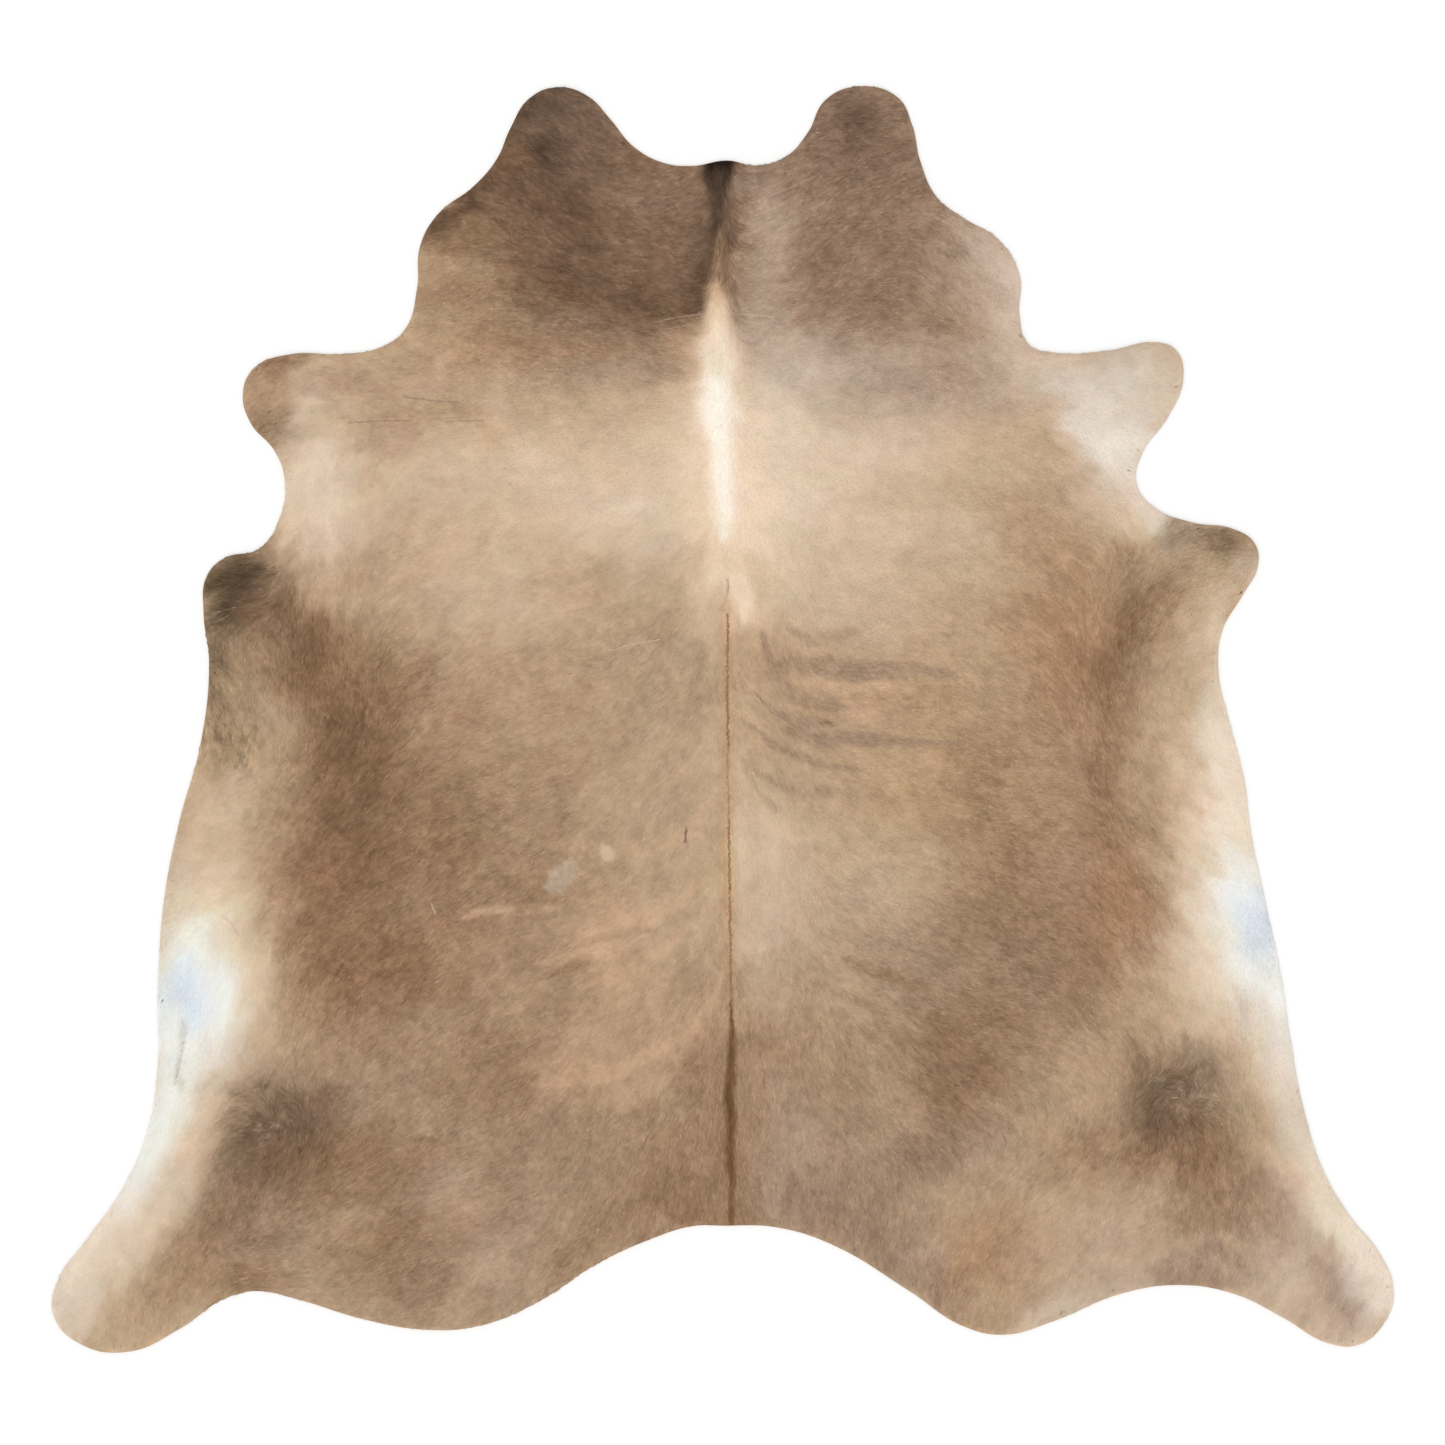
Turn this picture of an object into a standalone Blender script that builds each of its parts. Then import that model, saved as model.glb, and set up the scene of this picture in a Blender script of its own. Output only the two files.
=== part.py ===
"""Cowhide rug: one whole hide with its hair on, trimmed to its natural outline and lying flat.

The neck points towards +Y and the rump towards -Y. The underside lies on z = 0, and the
origin is under the middle of the hide. Sizes are in millimetres and MM turns them to metres.
"""
import bmesh
import bpy
from math import cos, exp, pi, radians, sin
from mathutils import Matrix, Vector

MM = 0.001

# Thickness of the hide
SKIN = 2.2  # the tanned skin
COAT = 2.6  # the short hair lying on it
THINNEST = 3.0  # the least that is left anywhere, where the belly hair is sparse

# How finely the curved edge and the uneven coat are stepped
EDGE_STEPS = 4  # steps between two points of the edge
CELL = 40.0  # spacing of the points that carry the unevenness
SLAB_MARGIN = 60.0  # how far the uneven slab reaches past the hide all round
SLAB_BELOW = 5.0  # how far it reaches below the flat underside
PRISM_TOP = 20.0  # height of the outline's prism, above any coat
WELD = 0.1  # corners nearer than this are one corner

COAT_COLOUR = (0.42, 0.30, 0.20, 1.0)
COAT_ROUGHNESS = 0.75

# The edge of the hide, clockwise from the neck. Each point is (across, along): across is
# measured from the spine, along from the middle of the hide's length towards the neck.
EDGE = {
    "right neck": [
        (8, 922), (55, 914), (105, 929), (140, 967), (170, 1022),
        (222, 1044), (288, 1027), (313, 980), (326, 922),
    ],
    "right cheek": [(354, 861), (400, 826), (455, 792), (490, 733), (490, 665)],
    "right fore leg": [
        (505, 619), (548, 605), (640, 609), (712, 622), (748, 609),
        (760, 563), (735, 499), (692, 438), (683, 388), (712, 350),
    ],
    "right elbow": [
        (775, 325), (843, 314), (878, 290), (883, 253), (858, 205), (824, 145), (818, 78),
    ],
    "right flank": [
        (835, 0), (860, -98), (872, -190), (892, -285),
        (920, -420), (937, -530), (958, -640), (990, -742),
    ],
    "right hind leg": [
        (1035, -820), (1085, -883), (1107, -942), (1095, -990),
        (1050, -1031), (1000, -1029), (925, -987), (845, -948),
    ],
    "right rump": [
        (752, -933), (655, -948), (545, -993), (463, -1015),
        (395, -1000), (310, -944), (180, -866), (90, -838),
    ],
    "left rump": [
        (0, -835), (-50, -836), (-115, -856), (-205, -897), (-310, -964),
        (-400, -1000), (-485, -1007), (-590, -990), (-700, -957),
    ],
    "left hind leg": [
        (-770, -943), (-820, -955), (-900, -1008), (-980, -1043),
        (-1060, -1030), (-1104, -982), (-1096, -925), (-1050, -860),
    ],
    "left flank": [
        (-990, -775), (-948, -680), (-931, -570), (-931, -440),
        (-920, -290), (-895, -165), (-862, -45), (-847, 95),
    ],
    "left elbow": [(-856, 175), (-851, 236), (-822, 266), (-764, 282), (-731, 330)],
    "left fore leg": [
        (-722, 395), (-739, 443), (-779, 490), (-791, 540),
        (-772, 580), (-715, 602), (-625, 603), (-566, 613),
    ],
    "left cheek": [(-524, 643), (-504, 710), (-499, 780), (-470, 833), (-410, 880), (-372, 925)],
    "left neck": [
        (-350, 975), (-318, 1025), (-270, 1043), (-222, 1028),
        (-185, 990), (-148, 946), (-100, 919), (-52, 913),
    ],
}

# Soft ridges (rise above 0) and troughs (rise below 0) of the coat. The place is
# (across, along), the size is half the length and half the width, and turn is the angle
# in degrees of the length from the across direction.
RELIEFS = [
    # name, place, size, turn, rise
    ("neck crest", (0, 800), (150, 34), 90, 1.5),
    ("withers", (-10, 520), (260, 44), 90, 1.2),
    ("spine", (8, -60), (520, 34), 90, 1.0),
    ("tail root", (14, -640), (190, 34), 90, 1.4),
    ("left neck lobe", (-270, 920), (130, 90), 110, 0.7),
    ("right neck lobe", (230, 930), (130, 80), 75, 0.7),
    ("neck fold", (-70, 648), (190, 34), -4, -0.9),
    ("left neck wrinkle", (-330, 560), (170, 34), 3, -0.7),
    ("right neck wrinkle", (320, 700), (150, 34), -14, -0.7),
    ("left shoulder", (-380, 400), (260, 130), 160, 0.8),
    ("right shoulder", (400, 380), (260, 130), 20, 0.8),
    ("left fore leg", (-690, 520), (150, 50), 160, 0.6),
    ("left fore leg hollow", (-690, 440), (120, 38), 170, -0.8),
    ("right fore leg", (650, 540), (150, 50), 15, 0.6),
    ("right fore leg hollow", (640, 400), (130, 44), -30, -0.8),
    ("left elbow swirl", (-800, 190), (80, 50), 70, 0.9),
    ("right elbow swirl", (800, 250), (90, 45), 10, 0.9),
    ("left elbow fold", (-700, 60), (210, 44), 110, 0.9),
    ("left side", (-520, -120), (330, 150), 80, 0.6),
    ("right side", (470, -80), (330, 150), 100, 0.6),
    ("left belly", (-880, -420), (190, 70), 94, -1.3),
    ("right belly", (880, -340), (190, 60), 80, -1.3),
    ("left belly crease", (-892, -560), (100, 30), 80, -0.8),
    ("left flank crease", (-812, -320), (130, 30), 60, 0.8),
    ("right flank crease", (830, -470), (150, 30), 110, 0.8),
    ("left stifle", (-735, -660), (110, 95), 60, 1.1),
    ("left stifle whorl", (-735, -660), (36, 36), 0, -1.0),
    ("right stifle", (757, -630), (110, 90), 120, 1.1),
    ("right stifle whorl", (757, -630), (36, 36), 0, -1.0),
    ("left hind shank", (-980, -930), (170, 50), 55, 0.8),
    ("right hind shank", (980, -930), (170, 50), 125, 0.8),
    ("left buttock", (-440, -800), (230, 110), 170, 0.8),
    ("right buttock", (440, -800), (230, 110), 10, 0.8),
]

# Slow waves that the whole hide keeps from drying on its frame
WAVES = [
    # wavelength, turn in degrees, start in degrees, rise
    (410, 25, 40, 0.30),
    (290, 100, 160, 0.26),
    (195, 145, 75, 0.20),
]


def remove_everything():
    for old in list(bpy.data.objects):
        bpy.data.objects.remove(old, do_unlink=True)


def new_collection(name):
    found = bpy.data.collections.get(name) or bpy.data.collections.new(name)
    if found.name not in bpy.context.scene.collection.children:
        bpy.context.scene.collection.children.link(found)
    return found


def coat_material():
    material = bpy.data.materials.new("hair_on_hide")
    material.use_nodes = True
    material.diffuse_color = COAT_COLOUR
    shader = material.node_tree.nodes["Principled BSDF"]
    shader.inputs["Base Color"].default_value = COAT_COLOUR
    shader.inputs["Roughness"].default_value = COAT_ROUGHNESS
    shader.inputs["Metallic"].default_value = 0.0
    return material


def edge_points():
    return [point for stretch in EDGE.values() for point in stretch]


def outline_curve(name):
    """The trimmed edge as one smooth closed curve, filled and given PRISM_TOP of height."""
    data = bpy.data.curves.new(name, "CURVE")
    data.dimensions = "2D"
    data.fill_mode = "BOTH"
    data.resolution_u = EDGE_STEPS
    data.extrude = PRISM_TOP * MM / 2
    spline = data.splines.new("BEZIER")
    points = edge_points()
    spline.bezier_points.add(len(points) - 1)
    for knot, (across, along) in zip(spline.bezier_points, points):
        knot.co = Vector((across, along, 0)) * MM
        knot.handle_left_type = "AUTO"
        knot.handle_right_type = "AUTO"
    spline.use_cyclic_u = True
    curve = bpy.data.objects.new(name, data)
    curve.location.z = PRISM_TOP * MM / 2
    return curve


def as_solid(curve, name, collection):
    """The curve as a closed mesh: a prism with the hide's outline, standing on z = 0."""
    collection.objects.link(curve)
    bpy.context.view_layer.update()
    evaluated = curve.evaluated_get(bpy.context.evaluated_depsgraph_get())
    mesh = bpy.data.meshes.new_from_object(evaluated)
    mesh.name = name
    shape = bmesh.new()
    shape.from_mesh(mesh)
    bmesh.ops.remove_doubles(shape, verts=shape.verts, dist=WELD * MM)
    bmesh.ops.recalc_face_normals(shape, faces=shape.faces)
    shape.to_mesh(mesh)
    shape.free()
    solid = bpy.data.objects.new(name, mesh)
    solid.matrix_world = curve.matrix_world
    collection.objects.link(solid)
    bpy.data.objects.remove(curve, do_unlink=True)
    return solid


def relief(across, along, place, size, turn, rise):
    """How much one ridge or trough adds here: full at its middle, and nothing well past its size."""
    angle = radians(turn)
    right = across - place[0]
    up = along - place[1]
    long_way = (right * cos(angle) + up * sin(angle)) / size[0]
    short_way = (up * cos(angle) - right * sin(angle)) / size[1]
    return rise * exp(-(long_way**2 + short_way**2))


def wave(across, along, length, turn, start, rise):
    angle = radians(turn)
    distance = across * cos(angle) + along * sin(angle)
    return rise * sin(2 * pi * distance / length + radians(start))


def coat_height(across, along):
    """Height of the coat's surface over the floor."""
    height = SKIN + COAT
    height += sum(relief(across, along, *row[1:]) for row in RELIEFS)
    height += sum(wave(across, along, *row) for row in WAVES)
    return max(height, THINNEST)


def uneven_slab(name, collection):
    """A slab that reaches past the hide all round, with the coat's uneven top."""
    points = edge_points()
    half_across = max(abs(across) for across, along in points) + SLAB_MARGIN
    half_along = max(abs(along) for across, along in points) + SLAB_MARGIN
    slab = bmesh.new()
    bmesh.ops.create_grid(
        slab,
        x_segments=2 * round(half_across / CELL),
        y_segments=2 * round(half_along / CELL),
        size=MM,
        matrix=Matrix.Diagonal((half_across, half_along, 1, 1)),
    )
    for point in slab.verts:
        point.co.z = coat_height(point.co.x / MM, point.co.y / MM) * MM
    bmesh.ops.triangulate(slab, faces=slab.faces)
    lowered = bmesh.ops.extrude_face_region(slab, geom=slab.faces[:])["geom"]
    for item in lowered:
        if isinstance(item, bmesh.types.BMVert):
            item.co.z = -SLAB_BELOW * MM
    bmesh.ops.recalc_face_normals(slab, faces=slab.faces)
    mesh = bpy.data.meshes.new(name)
    slab.to_mesh(mesh)
    slab.free()
    cutter = bpy.data.objects.new(name, mesh)
    cutter.hide_render = True
    cutter.display_type = "WIRE"
    collection.objects.link(cutter)
    return cutter


def make_hide(parts, cutters):
    """The outline's prism, kept only where the uneven slab fills it."""
    hide = as_solid(outline_curve("outline"), "hide", parts)
    trim = hide.modifiers.new("coat surface", "BOOLEAN")
    trim.operation = "INTERSECT"
    trim.solver = "EXACT"
    trim.object = uneven_slab("coat_slab", cutters)
    weld = hide.modifiers.new("no slivers", "WELD")
    weld.merge_threshold = WELD * MM
    hide.data.materials.append(coat_material())
    return hide


def main():
    remove_everything()
    make_hide(new_collection("cowhide_rug"), new_collection("cutters"))


main()
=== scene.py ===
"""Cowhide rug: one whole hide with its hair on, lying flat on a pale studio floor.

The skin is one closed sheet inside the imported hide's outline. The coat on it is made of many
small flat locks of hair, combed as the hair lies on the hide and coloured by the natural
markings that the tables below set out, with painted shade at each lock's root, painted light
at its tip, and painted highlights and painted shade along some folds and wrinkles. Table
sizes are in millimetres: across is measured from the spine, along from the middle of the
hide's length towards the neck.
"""

from math import pi
from types import SimpleNamespace

import bmesh
import bpy
import numpy as np
from bpy.props import FloatProperty, FloatVectorProperty, IntProperty, PointerProperty
from bpy.types import Operator, Panel, PropertyGroup
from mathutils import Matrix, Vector
from mathutils.kdtree import KDTree


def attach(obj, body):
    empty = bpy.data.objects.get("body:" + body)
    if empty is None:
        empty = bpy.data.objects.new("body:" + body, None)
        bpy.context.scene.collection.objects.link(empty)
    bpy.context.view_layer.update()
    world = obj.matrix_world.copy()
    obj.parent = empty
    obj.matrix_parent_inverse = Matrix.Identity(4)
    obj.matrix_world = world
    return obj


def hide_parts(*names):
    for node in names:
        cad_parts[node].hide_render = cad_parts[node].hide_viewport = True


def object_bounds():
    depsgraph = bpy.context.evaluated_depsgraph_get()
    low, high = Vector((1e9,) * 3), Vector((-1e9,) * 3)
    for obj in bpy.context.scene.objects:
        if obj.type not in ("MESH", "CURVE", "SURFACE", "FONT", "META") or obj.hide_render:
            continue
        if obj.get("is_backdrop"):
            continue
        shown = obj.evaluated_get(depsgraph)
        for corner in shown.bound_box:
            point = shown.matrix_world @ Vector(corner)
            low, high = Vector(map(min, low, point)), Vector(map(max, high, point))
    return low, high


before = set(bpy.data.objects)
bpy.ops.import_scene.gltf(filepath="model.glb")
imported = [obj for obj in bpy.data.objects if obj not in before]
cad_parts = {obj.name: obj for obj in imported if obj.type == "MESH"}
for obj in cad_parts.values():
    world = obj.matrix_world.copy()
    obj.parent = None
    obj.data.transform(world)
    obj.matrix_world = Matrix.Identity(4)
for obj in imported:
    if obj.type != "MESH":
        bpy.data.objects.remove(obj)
CAD_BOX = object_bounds()

bl_info = {
    "name": "Cowhide Rug",
    "version": (1, 0, 0),
    "blender": (4, 5, 0),
    "location": "View3D > Sidebar > Cowhide",
    "description": "A whole hide with its hair on, with a combed coat and natural markings",
    "category": "Add Mesh",
}

MM = 0.001
BODY = "root"
NODE = "hide"

# Thickness and edge of the hide, in millimetres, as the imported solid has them
SKIN = 2.2  # the tanned skin
COAT = 2.6  # the short hair lying on it
THINNEST = 3.0  # the least that is left anywhere
UNDER_HAIR = 0.2  # how far the sheet's top lies under the hair's surface
RIM = 9.0  # the coat rounds off to the trimmed edge over this width
RIM_LOWEST = 0.45  # share of the height that the edge itself keeps
RIM_RINGS = (0.8, 1.6, 2.6, 4.0)  # widths of the rings of faces at the rim
EDGE_STEPS = 12  # steps between two points of the edge
SNAP = 0.02  # a cut nearer than this to a corner goes through it
FLESH_CELL = 90.0  # spacing of the flat underside's faces
CUT_SIDE, FLESH_SIDE = 1, 2  # the sheet's materials after that of its hair side

# The locks of hair, in millimetres and degrees
ROOT_INSET = 0.3  # nearest that a root comes to the edge
ROOT_DEPTH = 0.35  # how far a root lies under the hair's surface
SIDE_DEPTH = 0.20  # how far a lock's side corners lie under it
WIDEST = 0.36  # share of its length where a lock is widest
SHORTEST = 3.0  # locks that the edge cuts shorter than this are left out
STRAY = 7.0  # how far a lock turns from the comb's way
DROOP = 0.5  # how fast hair past the edge hangs down
BEND = 0.10  # most that a tip lies to one side, as a share of the lock's length
LENGTHS = (0.75, 1.25)  # shares of the usual length that the locks have
WIDTHS = (0.7, 1.3)
LIFTS = (0.4, 1.4)
STYLE_SOFT = 0.6  # how softly a place with its own style, or with specks, ends
# Painted shade and light on each lock: its root is painted darker, as shade deep in the coat, and its
# tip lighter, as light on its raised tip
ROOT_PAINTED_SHADE = 0.97
TIP_PAINTED_LIGHT = 1.02
LOCK_SPREAD = 0.0125  # how far one lock's colour differs from the next
GLOSS = 0.0045  # light that the hair's gloss adds to its own colour
DARKEST = 0.002  # the least light value that hair is given
STRAND_LAYOUTS = 64  # places on the strand map, each way, that a lock's fine hairs may have

# The locks along a fine line of hair
THREAD_STEP = 1.3  # from one root to the next
THREAD_LENGTH = 7.0
THREAD_LIFT = 0.45
THREAD_WIDTH = 1.5  # a lock's width, as a share of the line's half width
THREAD_SHARES = (0.8, 1.2)  # shares of that length and lift that the locks have

# Smooth noise
LATTICE = 256  # cells after which it repeats
LATTICE_SHIFT = (71.3, 43.7)  # keeps the hide's middle off a corner of the cells
NOISE_STEP = 0.6  # from one noise to the next along the hair, in cells
CLOSE = 1e-6  # keeps a division away from zero

# How far the hair drags the markings' edges: along its way, then across it
SLIDES = [
    # millimetres, cell, stretch, seed
    (16, 30, 2, 1),
    (9, 9, 3, 2),
]
SWAY, SWAY_CELL, SWAY_SEED = 7, 45, 3
STROKE_RAGGED = 0.35  # how ragged a stroke's edges are beside a patch's
ROUTE_STEPS = 6  # straight steps between two places of a stroke

# Mottling of the coat: finer and coarser clouds, drawn out a little along the hair
MOTTLES = [
    # cell in mm, stretch, ragged, kind, lighter or darker, warmer or cooler, rosier or greener
    (3.2, 1, 0.1, "flecks", 0.028, 0.0015, 0.0045),
    (6.5, 0, 0.1, "clouds", 0.018, 0.0015, 0.0045),
    (15.0, 0, 0.8, "clouds", 0.023, 0.0030, 0.0045),
    (32.0, 0, 0.8, "clouds", 0.020, 0.0040, 0.0035),
    (75.0, 0, 0.8, "clouds", 0.009, 0.0050, 0.0030),
]
MOTTLE_SEED, WARM_SEED, ROSY_SEED, SPECK_SEED = 11, 31, 51, 71
HUE_CELL = 1.2  # how much wider than its shade a cloud's hue is
FADE = 0.5  # how much of a light or dark fleck is grey, and not the coat's own colour
SPECK_EDGE = 0.35  # how softly a speck ends
PALE = 0.8  # the display value at which the coat is evenest
CLOUD_GROWTH = 4.2  # how fast clouds grow stronger as the coat gets darker
CLOUD_RANGE = (0.6, 3.0)
FLECK_GROWTH = 13  # the same for flecks, which start a little darker
FLECK_START = 0.065
FLECK_RANGE = (0.1, 4.0)

WARMER = np.array([1.0, 0.0, -1.0])
ROSIER = np.array([0.6, -1.0, 0.5])

# Finishes
FINISHES = {
    # grain's scale, detail and roughness, bump and its depth in metres, roughness, gloss
    "combed hair": (1.0, 3.0, 0.60, 0.25, 0.0002, 0.65, 0.16),
    "under hair": (420.0, 4.0, 0.60, 0.40, 0.0004, 0.75, 0.12),
    "cut skin": (260.0, 6.0, 0.65, 0.50, 0.0004, 0.70, 0.20),
    "flesh side": (90.0, 6.0, 0.65, 0.50, 0.0004, 0.90, 0.20),
}
SKIN_TONES = {
    # darker tone, lighter tone, as a display shows them
    "cut skin": ((0.74, 0.66, 0.56), (0.88, 0.82, 0.73)),
    "flesh side": ((0.70, 0.66, 0.60), (0.86, 0.83, 0.78)),
}
TONE_STOPS = (0.32, 0.70)  # values of the grain that have those two tones
GRAIN_SPAN = (0.3, 0.7)  # most of the grain lies between these values
HAIR_GREYS = (0.94, 1.06)  # shades that it gives the locks
UNDER_GREYS = (0.92, 1.06)
STRAND_SCALE = (7.0, 0.8, 1.0)  # draws the grain out into single hairs along a lock
SHEEN = 0.05
SHEEN_ROUGHNESS = 0.45
COLOUR_LAYER = "coat_colour"
STRAND_MAP = "strand"  # each lock's own map, that single hairs are drawn on
BAKE_MAP = "OFBake"  # the hide seen from above
MIX_FACTOR, MIX_A, MIX_B, MIX_RESULT = 0, 6, 7, 2  # sockets of a mix of two colours

# The stage, in metres
FLOOR_REACH = 30.0
FLOOR_CELLS = 8
FLOOR_DROP = -0.0003  # keeps the floor just under the hide's flat underside
FLOOR_ROUGHNESS = 0.9
FLOOR_GLOSS = 0.1
SUN_SPREAD = 1.4
SUN_TURN = (0.60, -0.35, 0.0)
CAMERA_SHIFT = -0.005  # the picture's middle lies this far back from the hide's
CAMERA_REACH = 100.0
SENSOR = 36.0  # width of the camera's sensor, in millimetres
PICTURE_PIXELS = 1445
PIXEL = 1.65  # width of one pixel at the hide, in millimetres

# Stretches of the body that the coat's pieces cover
STRETCHES = [
    # name, across from, to, along from, to
    ("coat_neck", -1200, 1200, 600, 1100),
    ("coat_left_shoulder", -1200, 0, 150, 600),
    ("coat_right_shoulder", 0, 1200, 150, 600),
    ("coat_left_flank", -1200, 0, -450, 150),
    ("coat_right_flank", 0, 1200, -450, 150),
    ("coat_left_haunch", -1200, 0, -1100, -450),
    ("coat_right_haunch", 0, 1200, -1100, -450),
]

# Where the hair is longer, shorter or rougher than usual
HAIR_STYLES = {
    # place, size, turn, length, lift, stray
    "mane": ((0, 800), (140, 26), 90, 20, 1.2, 8),
    "withers": ((0, 480), (240, 30), 90, 18, 0.7, 6),
    "tail root": ((14, -640), (190, 20), 90, 18, 0.9, 7),
    "left elbow swirl": ((-805, 210), (70, 60), 0, 17, 0.8, 14),
    "right elbow swirl": ((815, 250), (70, 50), 0, 17, 0.8, 14),
    "left stifle": ((-735, -660), (100, 85), 60, 15, 0.6, 12),
    "right stifle": ((757, -630), (95, 80), 120, 15, 0.6, 12),
    "left belly": ((-885, -430), (190, 45), 94, 20, 0.7, 9),
    "right belly": ((885, -360), (190, 40), 80, 20, 0.7, 9),
    "left hind leg": ((-1000, -920), (170, 60), 50, 10, 0.3, 8),
    "right hind leg": ((1000, -920), (170, 60), 130, 10, 0.3, 8),
    "left fore leg": ((-700, 510), (110, 70), 160, 10, 0.3, 8),
    "right fore leg": ((680, 530), (110, 70), 15, 10, 0.3, 8),
    "left neck": ((-250, 850), (200, 130), 0, 12, 0.4, 9),
    "right neck": ((250, 850), (200, 130), 0, 12, 0.4, 9),
    "scar": ((-264, -256), (44, 44), 0, 5, 0.2, 12),
    "small scar": ((-194, -216), (24, 24), 0, 5, 0.2, 12),
}

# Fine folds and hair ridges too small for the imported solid, laid out as RELIEFS is
CREASES = {
    "neck fold line": ((-85, 660), (45, 7), 12, -0.7),
    "neck fold ridge": ((-85, 668), (45, 7), 12, 0.5),
    "right fold line": ((64, 655), (30, 6), -6, -0.6),
    "right fold ridge": ((64, 663), (30, 6), -6, 0.4),
    "flank curve": ((-812, -320), (60, 10), 60, 0.7),
    "belly drip": ((-892, -560), (55, 12), 82, -0.8),
    "spine parting": ((10, -160), (330, 6), 90, -0.7),
    "tail ridge": ((14, -650), (180, 9), 90, 1.0),
}

# The edge of the hide, clockwise from the neck. Each point is (across, along): across is
# measured from the spine, along from the middle of the hide's length towards the neck.
EDGE = {
    "right neck": [
        (8, 922), (55, 914), (105, 929), (140, 967), (170, 1022),
        (222, 1044), (288, 1027), (313, 980), (326, 922),
    ],
    "right cheek": [(354, 861), (400, 826), (455, 792), (490, 733), (490, 665)],
    "right fore leg": [
        (505, 619), (548, 605), (640, 609), (712, 622), (748, 609),
        (760, 563), (735, 499), (692, 438), (683, 388), (712, 350),
    ],
    "right elbow": [
        (775, 325), (843, 314), (878, 290), (883, 253), (858, 205), (824, 145), (818, 78),
    ],
    "right flank": [
        (835, 0), (860, -98), (872, -190), (892, -285),
        (920, -420), (937, -530), (958, -640), (990, -742),
    ],
    "right hind leg": [
        (1035, -820), (1085, -883), (1107, -942), (1095, -990),
        (1050, -1031), (1000, -1029), (925, -987), (845, -948),
    ],
    "right rump": [
        (752, -933), (655, -948), (545, -993), (463, -1015),
        (395, -1000), (310, -944), (180, -866), (90, -838),
    ],
    "left rump": [
        (0, -835), (-50, -836), (-115, -856), (-205, -897), (-310, -964),
        (-400, -1000), (-485, -1007), (-590, -990), (-700, -957),
    ],
    "left hind leg": [
        (-770, -943), (-820, -955), (-900, -1008), (-980, -1043),
        (-1060, -1030), (-1104, -982), (-1096, -925), (-1050, -860),
    ],
    "left flank": [
        (-990, -775), (-948, -680), (-931, -570), (-931, -440),
        (-920, -290), (-895, -165), (-862, -45), (-847, 95),
    ],
    "left elbow": [(-856, 175), (-851, 236), (-822, 266), (-764, 282), (-731, 330)],
    "left fore leg": [
        (-722, 395), (-739, 443), (-779, 490), (-791, 540),
        (-772, 580), (-715, 602), (-625, 603), (-566, 613),
    ],
    "left cheek": [(-524, 643), (-504, 710), (-499, 780), (-470, 833), (-410, 880), (-372, 925)],
    "left neck": [
        (-350, 975), (-318, 1025), (-270, 1043), (-222, 1028),
        (-185, 990), (-148, 946), (-100, 919), (-52, 913),
    ],
}

# Soft ridges (rise above 0) and troughs (rise below 0) of the coat. The place is
# (across, along), the size is half the length and half the width, and turn is the angle
# in degrees of the length from the across direction.
RELIEFS = {
    # place, size, turn, rise
    "neck crest": ((0, 800), (150, 34), 90, 1.5),
    "withers": ((-10, 520), (260, 44), 90, 1.2),
    "spine": ((8, -60), (520, 34), 90, 1.0),
    "tail root": ((14, -640), (190, 34), 90, 1.4),
    "left neck lobe": ((-270, 920), (130, 90), 110, 0.7),
    "right neck lobe": ((230, 930), (130, 80), 75, 0.7),
    "neck fold": ((-70, 648), (190, 34), -4, -0.9),
    "left neck wrinkle": ((-330, 560), (170, 34), 3, -0.7),
    "right neck wrinkle": ((320, 700), (150, 34), -14, -0.7),
    "left shoulder": ((-380, 400), (260, 130), 160, 0.8),
    "right shoulder": ((400, 380), (260, 130), 20, 0.8),
    "left fore leg": ((-690, 520), (150, 50), 160, 0.6),
    "left fore leg hollow": ((-690, 440), (120, 38), 170, -0.8),
    "right fore leg": ((650, 540), (150, 50), 15, 0.6),
    "right fore leg hollow": ((640, 400), (130, 44), -30, -0.8),
    "left elbow swirl": ((-800, 190), (80, 50), 70, 0.9),
    "right elbow swirl": ((800, 250), (90, 45), 10, 0.9),
    "left elbow fold": ((-700, 60), (210, 44), 110, 0.9),
    "left side": ((-520, -120), (330, 150), 80, 0.6),
    "right side": ((470, -80), (330, 150), 100, 0.6),
    "left belly": ((-880, -420), (190, 70), 94, -1.3),
    "right belly": ((880, -340), (190, 60), 80, -1.3),
    "left belly crease": ((-892, -560), (100, 30), 80, -0.8),
    "left flank crease": ((-812, -320), (130, 30), 60, 0.8),
    "right flank crease": ((830, -470), (150, 30), 110, 0.8),
    "left stifle": ((-735, -660), (110, 95), 60, 1.1),
    "left stifle whorl": ((-735, -660), (36, 36), 0, -1.0),
    "right stifle": ((757, -630), (110, 90), 120, 1.1),
    "right stifle whorl": ((757, -630), (36, 36), 0, -1.0),
    "left hind shank": ((-980, -930), (170, 50), 55, 0.8),
    "right hind shank": ((980, -930), (170, 50), 125, 0.8),
    "left buttock": ((-440, -800), (230, 110), 170, 0.8),
    "right buttock": ((440, -800), (230, 110), 10, 0.8),
}

# Slow waves that the whole hide keeps from drying on its frame
WAVES = [
    # wavelength, turn in degrees, start in degrees, rise
    (410, 25, 40, 0.30),
    (290, 100, 160, 0.26),
    (195, 145, 75, 0.20),
]

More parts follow.
